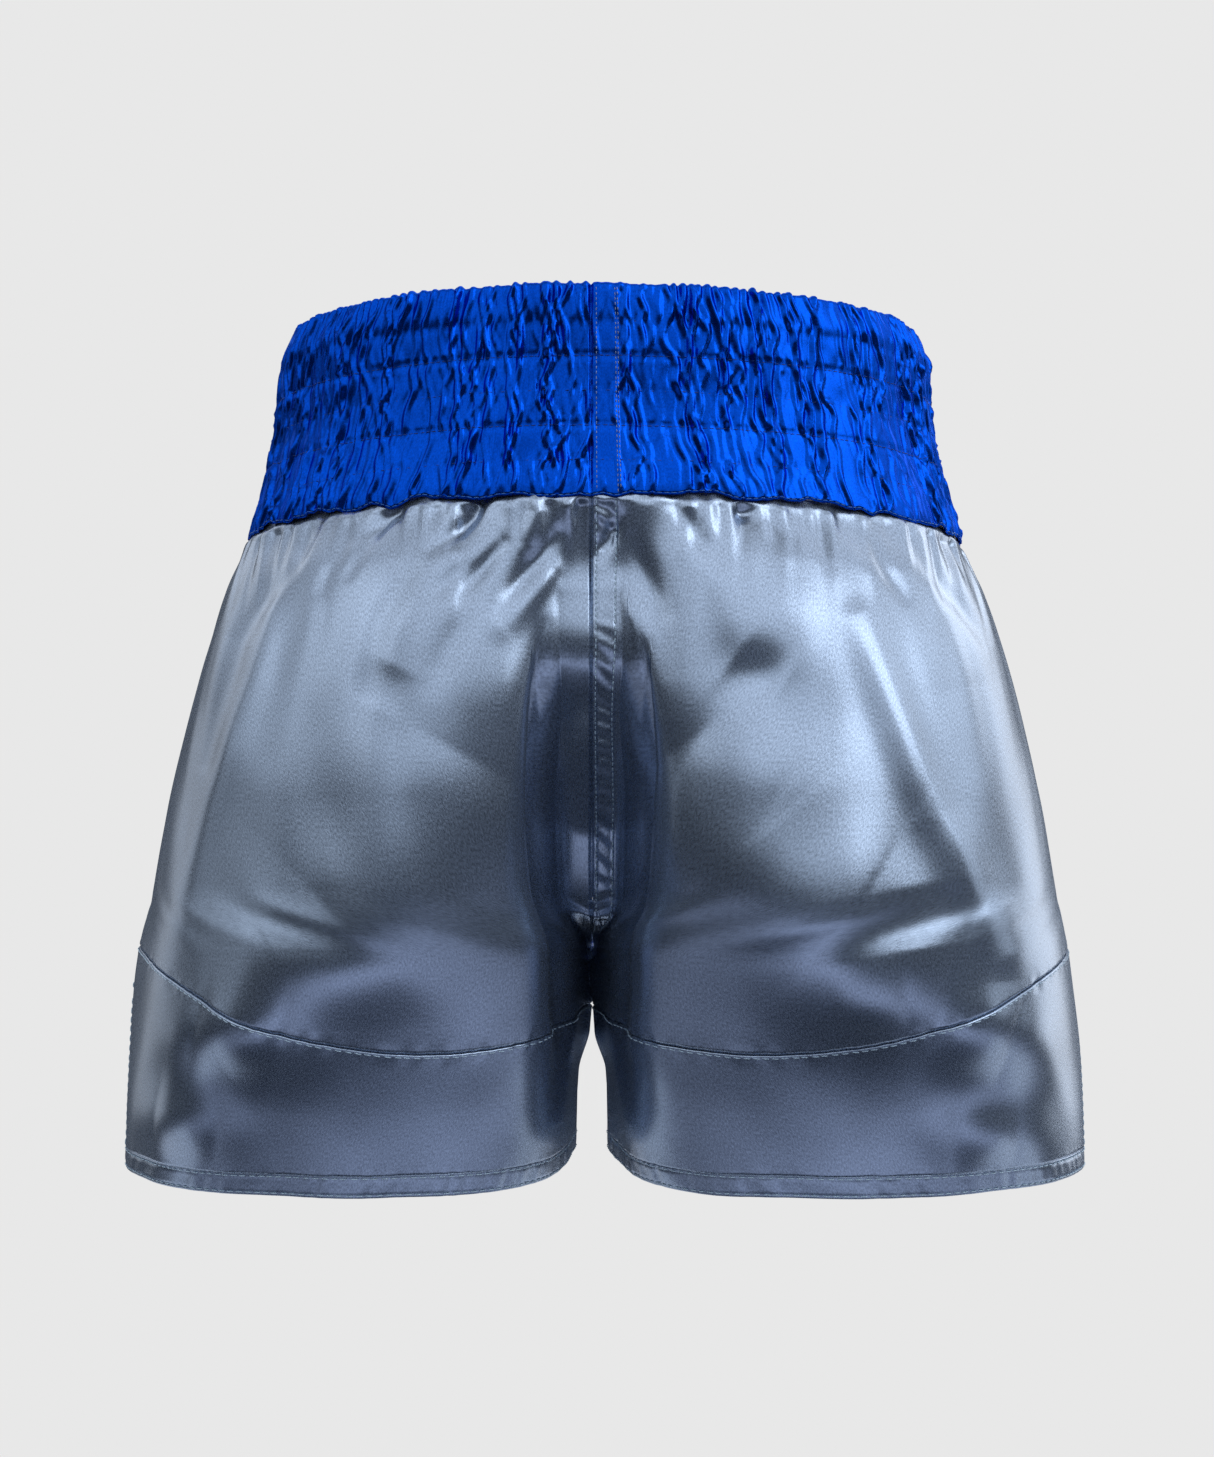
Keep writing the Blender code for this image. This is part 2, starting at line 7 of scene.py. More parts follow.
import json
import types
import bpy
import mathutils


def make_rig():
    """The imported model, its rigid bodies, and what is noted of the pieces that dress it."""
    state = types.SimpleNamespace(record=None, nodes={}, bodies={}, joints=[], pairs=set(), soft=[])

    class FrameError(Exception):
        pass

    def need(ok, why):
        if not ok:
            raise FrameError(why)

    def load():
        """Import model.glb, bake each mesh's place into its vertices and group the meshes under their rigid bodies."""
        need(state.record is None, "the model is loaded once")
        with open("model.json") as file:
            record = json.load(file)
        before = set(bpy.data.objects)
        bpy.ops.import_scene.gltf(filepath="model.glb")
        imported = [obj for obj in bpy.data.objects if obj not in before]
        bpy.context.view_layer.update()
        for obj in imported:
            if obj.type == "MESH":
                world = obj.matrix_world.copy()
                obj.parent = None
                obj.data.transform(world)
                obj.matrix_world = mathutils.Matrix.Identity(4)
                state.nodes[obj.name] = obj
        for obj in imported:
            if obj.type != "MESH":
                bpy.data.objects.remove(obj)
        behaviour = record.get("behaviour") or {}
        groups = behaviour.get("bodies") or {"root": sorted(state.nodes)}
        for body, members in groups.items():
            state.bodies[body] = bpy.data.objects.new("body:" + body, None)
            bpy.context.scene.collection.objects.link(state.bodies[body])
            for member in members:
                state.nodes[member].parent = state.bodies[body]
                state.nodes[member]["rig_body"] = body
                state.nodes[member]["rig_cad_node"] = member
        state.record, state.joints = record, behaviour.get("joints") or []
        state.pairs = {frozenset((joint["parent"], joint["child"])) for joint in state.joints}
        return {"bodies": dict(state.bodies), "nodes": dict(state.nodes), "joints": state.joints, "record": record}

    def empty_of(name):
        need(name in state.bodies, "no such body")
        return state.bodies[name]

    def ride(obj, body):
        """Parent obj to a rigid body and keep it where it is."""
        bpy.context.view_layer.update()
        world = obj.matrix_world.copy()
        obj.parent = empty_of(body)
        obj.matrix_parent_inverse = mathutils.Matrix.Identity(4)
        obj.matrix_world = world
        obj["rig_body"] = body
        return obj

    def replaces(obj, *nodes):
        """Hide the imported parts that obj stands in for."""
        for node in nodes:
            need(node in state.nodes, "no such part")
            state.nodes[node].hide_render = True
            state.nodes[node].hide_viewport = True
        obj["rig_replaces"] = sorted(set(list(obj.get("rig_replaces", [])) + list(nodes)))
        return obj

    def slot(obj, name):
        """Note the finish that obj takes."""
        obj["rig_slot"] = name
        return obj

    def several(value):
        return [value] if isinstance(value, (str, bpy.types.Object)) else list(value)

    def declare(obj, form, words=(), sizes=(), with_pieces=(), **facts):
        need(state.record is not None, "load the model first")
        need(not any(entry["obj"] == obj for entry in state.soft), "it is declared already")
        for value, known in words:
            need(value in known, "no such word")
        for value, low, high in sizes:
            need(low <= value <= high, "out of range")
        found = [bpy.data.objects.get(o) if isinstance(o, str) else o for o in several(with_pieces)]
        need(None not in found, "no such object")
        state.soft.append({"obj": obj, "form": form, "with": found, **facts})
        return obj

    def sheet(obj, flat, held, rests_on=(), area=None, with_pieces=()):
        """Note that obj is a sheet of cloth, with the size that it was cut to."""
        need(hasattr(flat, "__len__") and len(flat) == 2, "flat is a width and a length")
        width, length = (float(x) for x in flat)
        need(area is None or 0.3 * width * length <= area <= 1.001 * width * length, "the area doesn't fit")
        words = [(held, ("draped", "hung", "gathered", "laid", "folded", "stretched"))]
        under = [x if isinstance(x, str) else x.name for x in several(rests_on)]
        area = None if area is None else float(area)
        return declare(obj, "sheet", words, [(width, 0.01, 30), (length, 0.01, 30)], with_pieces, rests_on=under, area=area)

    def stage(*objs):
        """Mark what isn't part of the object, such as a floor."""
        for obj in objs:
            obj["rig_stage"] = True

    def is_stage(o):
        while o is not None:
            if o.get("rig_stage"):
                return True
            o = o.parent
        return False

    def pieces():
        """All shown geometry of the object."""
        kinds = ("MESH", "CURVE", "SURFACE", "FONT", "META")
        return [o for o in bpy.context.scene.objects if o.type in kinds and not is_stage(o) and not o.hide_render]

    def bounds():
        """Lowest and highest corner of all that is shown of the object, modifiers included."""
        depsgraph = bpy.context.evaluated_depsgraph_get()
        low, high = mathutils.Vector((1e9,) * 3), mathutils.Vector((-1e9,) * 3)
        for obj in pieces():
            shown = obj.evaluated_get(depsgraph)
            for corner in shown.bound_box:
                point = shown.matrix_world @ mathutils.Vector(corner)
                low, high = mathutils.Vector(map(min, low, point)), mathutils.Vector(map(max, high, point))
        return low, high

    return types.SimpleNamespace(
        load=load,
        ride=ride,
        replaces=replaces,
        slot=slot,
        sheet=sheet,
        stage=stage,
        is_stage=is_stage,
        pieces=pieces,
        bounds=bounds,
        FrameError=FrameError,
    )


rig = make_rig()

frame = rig.load()
cad_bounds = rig.bounds()

import json
import math

import bmesh
import bpy
import numpy as np
from mathutils import Vector

MM = 0.001
SIDES = {"left": -1, "right": 1}

# ---------------------------------------------------------------- surfaces

# Waistband: level, half width, depth behind and depth in front, in mm
BAND_PROFILE = (
    (0.0, 135.0, 100.0, 98.0),
    (-17.0, 138.0, 103.0, 100.0),
    (-43.0, 140.5, 107.0, 102.5),
    (-69.0, 146.6, 112.0, 105.5),
    (-89.0, 153.0, 117.0, 108.0),
)
BAND_TILT = 0.14
BAND_TOP = -1.2 * MM
BAND_BOTTOM = -89.0 * MM
CHANNELS = 6
BODY_TUCK = 6.0 * MM

# Body: guide lines round one half, and the sections from waist to hem, in mm
GUIDES = (0.0, 0.079, 0.152, 0.214, 0.289, 0.381, 0.5, 0.613, 0.71, 0.796, 0.86, 0.928, 1.0)
GUIDE_ANGLES = (0.0, 5.0, 11.5, 25.0, 44.5, 66.0, 90.0, 115.5, 136.5, 155.0, 168.5, 175.0, 180.0)
SECTIONS = (
    (-115, 0.13, 0,
     ((0, -114), (12, -115.5), (27, -119.5), (63, -121), (110, -103), (148, -61), (163.5, 0),
      (148, 52), (110, 90), (63, 110), (28, 114), (12, 114), (0, 113))),
    (-140, 0.11, 0,
     ((0, -117), (13, -117.5), (28, -122), (64, -131), (113, -115), (154, -71), (171.5, 0),
      (154, 60), (113, 98), (64, 116), (28, 118), (12, 116), (0, 113))),
    (-170, 0.08, 3,
     ((0, -107), (15, -110.5), (29.5, -123), (65, -137), (115, -125), (160, -80), (179, 0),
      (160, 66), (115, 103), (65, 119), (28, 118), (12, 112), (0, 106))),
    (-200, 0.05, 9,
     ((0, -93), (16, -100), (30, -121), (66, -140), (117, -132), (165, -87), (186, 0),
      (165, 70), (117, 106), (66, 119), (27, 114), (11, 103), (0, 92))),
    (-230, 0.0, 15,
     ((0, -76), (14, -86), (27, -115), (63, -139), (116, -137), (168, -93), (191, 0),
      (168, 72), (116, 106), (63, 116), (24, 106), (9, 84), (0, 60))),
    (-258, 0.0, 4,
     ((0, 4), (7, -54), (18, -108), (57, -134), (114, -138), (171, -98), (196, 0),
      (171, 72), (114, 104), (58, 112), (18, 96), (5, 52), (0, 4))),
    (-285, -0.01, 0,
     ((4, 4), (7, -52), (18, -102), (56, -126), (112, -131), (172, -98), (199.5, 0),
      (172, 71), (112, 101), (57, 107), (19, 88), (7, 48), (4, 4))),
    (-320, -0.02, -4,
     ((6, 4), (10, -48), (23, -92), (60, -115), (111, -119), (174, -88), (203, 0),
      (174, 69), (111, 99), (60, 101), (24, 82), (10, 46), (6, 4))),
    (-353, -0.035, -8,
     ((8, 4), (12, -46), (29, -86), (64, -106), (110, -109), (174, -78), (205, 0),
      (174, 68), (110, 97), (64, 96), (29, 78), (12, 44), (8, 4))),
)
SEAM_DROP_SHARE = (1.0, 0.5, 0.12, 0, 0, 0, 0, 0, 0, 0, 0.12, 0.5, 1.0)
HEM = -353.0 * MM
CROTCH = -258.0 * MM
YOKE = ((0.0, -286), (0.152, -291), (0.214, -295.5), (0.289, -290), (0.381, -271), (0.5, -260),
        (0.613, -271), (0.71, -290), (0.796, -295), (0.86, -291), (1.0, -286))
SLIT_TOP = -278.0 * MM
SLIT_HALF_OPENING = 0.009
U_PER_METRE = 1.35

# The centre seams hang a little towards the wearer's left
SEAM_SHIFT = -5.5 * MM
SEAM_SHIFT_REACH = 70.0 * MM

# The camera looks level along +Y. Folds are placed as they are seen from there, on the plane y = 0
CAMERA_DISTANCE = 1.8
CAMERA_AIM = (0.9 * MM, -166.8 * MM)
VIEW_HEIGHT = 626.5 * MM


def spline_weights(knots, at):
    """Matrix that turns values at the knots into a natural cubic spline's values at the given points."""
    knots = np.asarray(knots, float)
    count = len(knots)
    step = np.diff(knots)
    identity = np.eye(count)
    system = np.eye(count)
    right = np.zeros((count, count))
    for k in range(1, count - 1):
        system[k, k - 1 : k + 2] = step[k - 1], 2 * (step[k - 1] + step[k]), step[k]
        rise = (identity[k + 1] - identity[k]) / step[k]
        right[k] = 6 * (rise - (identity[k] - identity[k - 1]) / step[k - 1])
    bend = np.linalg.solve(system, right)
    span = np.clip(np.searchsorted(knots, at, side="right") - 1, 0, count - 2)
    width = step[span][:, None]
    left = (knots[span + 1] - at)[:, None]
    gone = (at - knots[span])[:, None]
    curved = (bend[span] * left**3 + bend[span + 1] * gone**3) / (6 * width)
    from_start = (identity[span] / width - bend[span] * width / 6) * left
    from_end = (identity[span + 1] / width - bend[span + 1] * width / 6) * gone
    return curved + from_start + from_end


def monotone(knots, values, at):
    """Smooth curves that never overshoot. values is (knots, curves, axes) and at has one entry per curve."""
    step = np.diff(knots)[:, None, None]
    slope = np.diff(values, axis=0) / step
    tangent = np.empty_like(values)
    tangent[0], tangent[-1] = slope[0], slope[-1]
    before, after = 2 * step[1:] + step[:-1], step[1:] + 2 * step[:-1]
    same_way = slope[:-1] * slope[1:] > 0
    low = np.where(same_way, slope[:-1], 1)
    high = np.where(same_way, slope[1:], 1)
    tangent[1:-1] = np.where(same_way, (before + after) / (before / low + after / high), 0)
    span = np.clip(np.searchsorted(knots, at, side="right") - 1, 0, len(knots) - 2)
    curve = np.arange(len(at))
    width = (knots[span + 1] - knots[span])[:, None]
    t = (at - knots[span])[:, None] / width
    start = (2 * t**3 - 3 * t**2 + 1) * values[span, curve]
    end = (3 * t**2 - 2 * t**3) * values[span + 1, curve]
    start_slope = (t**3 - 2 * t**2 + t) * width * tangent[span, curve]
    end_slope = (t**3 - t**2) * width * tangent[span + 1, curve]
    return start + end + start_slope + end_slope


TOP_CHANNEL_HEIGHT = 14.0  # mm
TOP_DRAWN_IN = 0.02  # the top elastic is tight, and pulls the top edge in by this share of its width


def fade(t):
    return t * t * (3 - 2 * t)


def band_surface(angles, levels):
    """Points on the waistband's outside. Angle 0 is the centre back and pi is the centre front."""
    table = np.array(BAND_PROFILE)[::-1] * MM
    values = np.repeat(table[:, None, 1:], len(levels), axis=1)
    wide, behind, before = monotone(table[:, 0], values, levels).T
    y = -np.cos(angles) * np.where(np.cos(angles) > 0, behind, before)
    up_the_channel = np.clip((levels / MM + TOP_CHANNEL_HEIGHT) / TOP_CHANNEL_HEIGHT, 0, 1)
    wide = wide * (1 - TOP_DRAWN_IN * fade(up_the_channel))
    return np.stack([wide * np.sin(angles), y, levels - BAND_TILT * y], axis=1)


def section_points(level, tilt, seam_drop, points):
    points = np.array(points, float) * MM
    drop = seam_drop * MM * np.array(SEAM_DROP_SHARE)
    return np.column_stack([points, level * MM - tilt * points[:, 1] - drop])


def body_sections():
    found = [(section[0] * MM, section_points(*section)) for section in SECTIONS]
    angles = np.radians(GUIDE_ANGLES)
    for level in (BAND_BOTTOM, BAND_BOTTOM + BODY_TUCK):
        found.append((level, band_surface(angles, np.full(len(angles), level))))
    found.sort(key=lambda section: section[0])
    return np.array([level for level, points in found]), np.array([points for level, points in found])


BODY_LEVELS, BODY_GUIDES = body_sections()


def body_surface(u, levels):
    """Points on the outside of the +X half of the body."""
    at_sections = np.einsum("pg,sgk->spk", spline_weights(GUIDES, u), BODY_GUIDES)
    return monotone(BODY_LEVELS, at_sections, levels)


def normals_of(surface, first, level):
    near = 1e-4
    round_it = surface(first + near, level) - surface(first - near, level)
    up_it = surface(first, level + near) - surface(first, level - near)
    normal = np.cross(round_it, up_it)
    return normal / np.linalg.norm(normal, axis=1)[:, None]


def yoke_level(u):
    knots, levels = np.array(YOKE).T
    return spline_weights(knots, u) @ levels * MM


def slit_edge(levels):
    share = np.clip((SLIT_TOP - levels) / (SLIT_TOP - HEM), 0, 1)
    return SLIT_HALF_OPENING * share


def body_lengths():
    """Arc lengths round the body from the centre back, on a grid of levels and u."""
    levels = np.linspace(HEM, BAND_BOTTOM + BODY_TUCK, 61)
    u = np.linspace(0, 1, 401)
    table = []
    for level in levels:
        points = body_surface(u, np.full(len(u), level))
        table.append(np.concatenate([[0], np.cumsum(np.linalg.norm(np.diff(points, axis=0), axis=1))]))
    return levels, u, np.array(table)


LENGTH_LEVELS, LENGTH_U, LENGTHS = body_lengths()


def grid_value(rows, columns, table, row, column):
    """Bilinear reading of a table at points."""
    r = np.interp(row, rows, np.arange(len(rows)))
    c = np.interp(column, columns, np.arange(len(columns)))
    r0 = np.minimum(r.astype(int), len(rows) - 2)
    c0 = np.minimum(c.astype(int), len(columns) - 2)
    fr, fc = r - r0, c - c0
    top = table[r0, c0] * (1 - fc) + table[r0, c0 + 1] * fc
    bottom = table[r0 + 1, c0] * (1 - fc) + table[r0 + 1, c0 + 1] * fc
    return top * (1 - fr) + bottom * fr


def across(u, levels):
    """Distance round the body from the centre back, in metres."""
    return grid_value(LENGTH_LEVELS, LENGTH_U, LENGTHS, levels, u)


# ---------------------------------------------------------------- noise and shaping


def ramp(value, low, high):
    """0 below low, 1 above high, smooth between."""
    return fade(np.clip((value - low) / (high - low), 0, 1))


def noise(x, y, seed):
    """Smooth noise from -1 to 1 that changes over about one unit."""
    table = np.random.default_rng(seed).uniform(-1, 1, (128, 128))
    x0, y0 = np.floor(x).astype(int), np.floor(y).astype(int)
    fx, fy = fade(x - x0), fade(y - y0)
    value = lambda i, j: table[i % 128, j % 128]
    low = value(x0, y0) * (1 - fx) + value(x0 + 1, y0) * fx
    high = value(x0, y0 + 1) * (1 - fx) + value(x0 + 1, y0 + 1) * fx
    return low * (1 - fy) + high * fy


def as_seen(points):
    """x and z in mm as seen from behind, on the plane y = 0."""
    scale = CAMERA_DISTANCE / (CAMERA_DISTANCE + points[:, 1])
    x = CAMERA_AIM[0] + (points[:, 0] - CAMERA_AIM[0]) * scale
    z = CAMERA_AIM[1] + (points[:, 2] - CAMERA_AIM[1]) * scale
    return x / MM, z / MM


def stroke(x, z, path, width_start, width_end, height):
    """A ridge (height above 0) or groove along a path, fading out at both ends. All in mm."""
    path = np.array(path, float)
    steps = np.diff(path, axis=0)
    lengths = np.linalg.norm(steps, axis=1)
    before = np.concatenate([[0], np.cumsum(lengths)])
    nearest = np.full(len(x), 1e9)
    place = np.zeros(len(x))
    for start, step, length, done in zip(path, steps, lengths, before):
        t = np.clip(((x - start[0]) * step[0] + (z - start[1]) * step[1]) / length**2, 0, 1)
        distance = np.hypot(x - start[0] - t * step[0], z - start[1] - t * step[1])
        closer = distance < nearest
        nearest = np.where(closer, distance, nearest)
        place = np.where(closer, (done + t * length) / before[-1], place)
    width = 1.15 * (width_start + (width_end - width_start) * place)
    ends = np.clip(np.sin(math.pi * np.clip(0.1 + 0.8 * place, 0, 1)), 0, 1) ** 0.8
    return height * ends * np.exp(-((nearest / width) ** 2))


# ---------------------------------------------------------------- gathers of the waistband

# Families of pleats: seed, average spacing in mm, tallest pleat in mm, share present in a channel
GATHER_FAMILIES = ((11, 4.4, 1.5, 0.86), (12, 3.8, 0.42, 0.9))
GATHER_JITTER = 0.6  # spread of the spacing: the gathers come in clusters with smoother cloth between
BAND_GIRTH_SAMPLES = 3600
ROWS_PER_CHANNEL = 16


def band_arc_mm():
    """Angles round the whole ring, and the distance round it in mm from the centre back."""
    angles = np.linspace(-math.pi, math.pi, 721)
    points = band_surface(np.abs(angles), np.full(len(angles), BAND_BOTTOM / 2))
    points[:, 0] *= np.where(angles < 0, -1, 1)
    lengths = np.concatenate([[0], np.cumsum(np.linalg.norm(np.diff(points, axis=0), axis=1))]) / MM
    return angles, lengths - lengths[len(lengths) // 2]


BAND_ANGLES, BAND_ARCS = band_arc_mm()
HALF_GIRTH = BAND_ARCS[-1]


def gather_tracks(seed, spacing, tallest, share_present):
    """Small pleats that run down the band. Each has a place on every line of stitches, a width, and a
    height in every channel, which is 0 where it has run out."""
    rng = np.random.default_rng(seed)
    places = []
    at = -HALF_GIRTH
    while at < HALF_GIRTH:
        places.append(at)
        at += spacing * rng.lognormal(-0.16, GATHER_JITTER)
    tracks = np.array(places)
    wander = rng.normal(0, 0.8, len(tracks))
    lines = []
    for _ in range(CHANNELS + 1):
        lines.append(tracks + wander)
        wander = 0.75 * wander + rng.normal(0, 1.7, len(tracks))
    present = rng.random((CHANNELS, len(tracks))) < share_present
    heights = rng.uniform(0.3, 1.0, (CHANNELS, len(tracks))) * tallest * present
    heights[0] = np.maximum(heights[0], 0.6 * tallest)
    widths = rng.uniform(0.85, 1.4, len(tracks))
    bows = rng.normal(0, 1.2, (CHANNELS, len(tracks)))
    snakes = rng.normal(0, 0.75, (CHANNELS, len(tracks)))
    fades = rng.uniform(-0.1, 0.3, (CHANNELS, len(tracks)))
    return lines, heights, widths, bows, snakes, fades


def pleat_shape(distance):
    """A narrow rounded ridge with a groove on each side of it."""
    side = np.abs(distance) - 1.75
    return np.exp(-(distance**2)) - 0.32 * np.exp(-((side / 0.75) ** 2))


def pleats_at(s, tracks, row, t):
    """Height in mm of one family of pleats along a line across channel number row."""
    lines, heights, widths, bows, snakes, fades = tracks
    arch = math.sin(math.pi * min(t, 1))
    place = lines[row] * (1 - t) + lines[row + 1] * t + bows[row] * arch
    place = place + snakes[row] * math.sin(2 * math.pi * t)
    before = heights[max(row - 1, 0)]
    after = heights[min(row + 1, CHANNELS - 1)]
    size = heights[row] + (before - heights[row]) * max(0, 0.5 - 2.5 * t)
    size = size + (after - heights[row]) * max(0, 0.5 - 2.5 * (1 - t))
    size = size * (1 - fades[row] * arch)
    height = np.zeros(len(s))
    for x, wide, tall in zip(place, widths, size):
        if abs(tall) > 0.02:
            low, high = np.searchsorted(s, (x - 4.5 * wide, x + 4.5 * wide))
            height[low:high] += tall * pleat_shape((s[low:high] - x) / wide)
    return height


def gather_table():
    """Height of the outer wall in mm, on a grid from the band's top to its bottom and round the ring."""
    families = [gather_tracks(*family) for family in GATHER_FAMILIES]
    s = np.linspace(-HALF_GIRTH, HALF_GIRTH, BAND_GIRTH_SAMPLES)
    count = CHANNELS * ROWS_PER_CHANNEL
    table = []
    for k in range(count + 1):
        row = min(k // ROWS_PER_CHANNEL, CHANNELS - 1)
        t = k / ROWS_PER_CHANNEL - row
        height = sum(pleats_at(s, tracks, row, t) for tracks in families)
        puff = math.sin(math.pi * min(t, 1)) ** 0.5
        swell = 0.45 if row == 0 else 0.1
        cells = noise(s / 8, np.full(len(s), row * 2.1 + t * 2.1), 5)
        large = noise(s / 24, np.full(len(s), row * 0.55 + t * 0.55), 6)
        table.append(height + puff * swell + 0.2 * cells + 0.7 * large + 0.5)
    return np.linspace(0, 1, len(table)), s, np.array(table)


GATHER_ROWS, GATHER_S, GATHERS = gather_table()

FELL_WIDTH = 11.0  # mm, the strip right of the centre seam
FELL_ROWS = (2.1, 9.9)  # mm, its two rows of stitches
FELL_RAISE = 0.6
STITCH_DIP = 0.25
STITCH_DIP_WIDTH = 0.55


def channel_lines():
    """Shares of the band's height at which rows of stitches run."""
    return np.arange(1, CHANNELS) / CHANNELS


def band_relief(angle, share):
    """Height in mm of the waistband's outer wall. angle is signed, 0 at the centre back."""
    s = np.interp(angle, BAND_ANGLES, BAND_ARCS)
    height = grid_value(GATHER_ROWS, GATHER_S, GATHERS, share, s)
    centre = np.where(np.abs(angle) < math.pi / 2, s, HALF_GIRTH - np.abs(s))
    flat = 1 - 0.3 * ramp(centre, -2.5, 0.5) * ramp(-centre, -FELL_WIDTH - 5, -FELL_WIDTH + 1)
    height = height * flat
    raised = ramp(centre, 0.0, 0.8) * ramp(-centre, -FELL_WIDTH - 0.5, -FELL_WIDTH + 0.5)
    height += FELL_RAISE * raised - 0.9 * np.exp(-((centre / 0.7) ** 2))
    for number, line in enumerate(channel_lines()):
        off = (share - line) * (BAND_TOP - BAND_BOTTOM) / MM
        deep = 2.8 if number == 0 else 1.3
        height -= deep * STITCH_DIP * np.exp(-((off / STITCH_DIP_WIDTH) ** 2))
    return height * (1 - 0.55 * ramp(share, 0.95, 1.0))


def band_edge_wave(angle):
    """How far the band's lower edge hangs below its line, in mm."""
    s = np.interp(angle, BAND_ANGLES, BAND_ARCS)
    return 1.9 * noise(s / 9, np.zeros(len(s)), 21) + 0.7 * noise(s / 4.5, np.zeros(len(s)), 22)


def lean(points):
    """Moves the middle of the garment sideways, where the centre seams hang off centre."""
    points = np.array(points)
    points[:, 0] += SEAM_SHIFT * np.exp(-((points[:, 0] / SEAM_SHIFT_REACH) ** 2))
    return points


def band_outer(angle, share, extra=0.0):
    """Points on the outer wall of the waistband, and their base normals."""
    levels = BAND_TOP + (BAND_BOTTOM - BAND_TOP) * share
    wave = band_edge_wave(angle) * ramp(share, 0.8, 1.0) ** 2 * MM
    turned = np.abs(angle)
    side = np.where(angle < 0, -1.0, 1.0)
    base = band_surface(turned, levels - wave)
    normal = normals_of(band_surface, turned, levels)
    relief = (band_relief(angle, share) + extra) * MM
    points = (base + normal * relief[:, None]) * np.stack([side, np.ones(len(side)), np.ones(len(side))], 1)
    return lean(points), normal * np.stack([side, np.ones(len(side)), np.ones(len(side))], 1)


# ---------------------------------------------------------------- relief of the body

# Folds of the back as seen from behind, in mm: path, width at its start and end, height
BACK_FOLDS = (
    # left of the centre seam
    (((-61, -85), (-38, -50), (-36, -48)), 4.0, 2.5, -1.6),
    (((-106, -86), (-78, -66)), 2.5, 2.0, -1.0),
    (((-72, -90), (-53, -74), (-50, -66)), 3.0, 2.0, -1.3),
    (((-58, -108), (-40, -87)), 4.5, 3.0, -1.6),
    (((-38, -115), (-26, -97), (-15, -83)), 5.0, 3.5, -1.5),
    (((-72, -110), (-58, -96)), 4.0, 3.0, -0.8),
    (((-25, -66), (-24, -74), (-28, -88)), 2.0, 4.0, 1.2),
    (((-17, -98), (-30, -112), (-40, -122)), 4.0, 6.0, 1.2),
    # right of the centre seam
    (((11, -76), (4, -92)), 3.0, 3.0, -1.8),
    (((34, -65), (44, -84), (52, -94)), 3.0, 4.5, -1.3),
    (((17, -86), (28, -116)), 4.0, 5.0, -0.9),
    (((60, -70), (66, -76)), 3.5, 3.0, -1.0),
    # from the waistband over the left hip
    (((-118, -71), (-144, -112)), 3.0, 3.0, -0.9),
    (((-131, -77), (-157, -129), (-172, -181)), 3.5, 4.0, -1.0),
    (((-103, -69), (-122, -108)), 3.0, 3.0, -0.8),
    (((-90, -71), (-110, -101)), 2.5, 2.5, -0.8),
    (((-135, -95), (-150, -146), (-168, -198), (-185, -254)), 4.0, 6.0, 1.3),
    (((-75, -86), (-95, -120), (-101, -150)), 5.0, 6.0, -0.9),
    (((-54, -112), (-71, -146)), 6.0, 6.0, -0.9),
    # from the waistband over the right hip
    (((110, -77), (129, -110)), 2.8, 3.0, -1.1),
    (((99, -69), (114, -95)), 2.8, 3.0, -0.8),
    (((133, -86), (148, -112)), 2.8, 3.0, -0.9),
    (((140, -90), (163, -129)), 2.8, 3.0, -0.9),
    (((71, -69), (80, -88)), 2.8, 3.0, -0.9),
    (((84, -67), (97, -95)), 3.0, 4.0, -0.9),
    (((110, -120), (140, -205), (168, -262)), 6.0, 9.0, 2.4),
    # broad swells and hollows of the left leg
    (((-54, -180), (-97, -262), (-130, -284), (-165, -300)), 30, 34, 7.0),
    (((-88, -140), (-97, -158)), 11, 11, -1.5),
    (((-172, -292), (-138, -300)), 16, 15, 5.4),
    (((-192, -334), (-165, -338)), 14, 13, 4.4),
    # broad swells and hollows of the right leg
    (((58, -138), (76, -150)), 12, 13, -3.6),
    (((46, -172), (80, -190)), 16, 16, 2.2),
    (((28, -184), (60, -222), (97, -258), (145, -276)), 30, 40, 11.0),
    (((126, -236), (130, -262)), 22, 22, -2.2),
    (((-26, -142), (26, -142)), 26, 26, 10.0),
    (((14, -106), (24, -128), (31, -160)), 4.5, 6.5, 1.4),
    (((150, -150), (168, -230), (172, -275)), 18, 20, 3.0),
    (((100, -288), (128, -284)), 13, 14, 3.4),
    (((142, -292), (172, -300)), 16, 16, 5.2),
    (((150, -341), (176, -343)), 12, 12, 4.0),
)


FOLD_GAIN = 1.7  # for the narrow folds
NARROW_FOLD = 7  # mm


def pleats(s, below, side):
    """Small pleats that the band's elastic throws into the body, fading out below it. In mm."""
    waves = noise(s / 4.2, below / 60, 31) + 0.7 * noise(s / 9.0, below / 60, 32)
    fan = noise((s - 0.35 * side * below) / 10, below / 90, 33)
    return 2.0 * waves * np.exp(-((below / 18) ** 1.3)) + 1.5 * fan * np.exp(-below / 42)


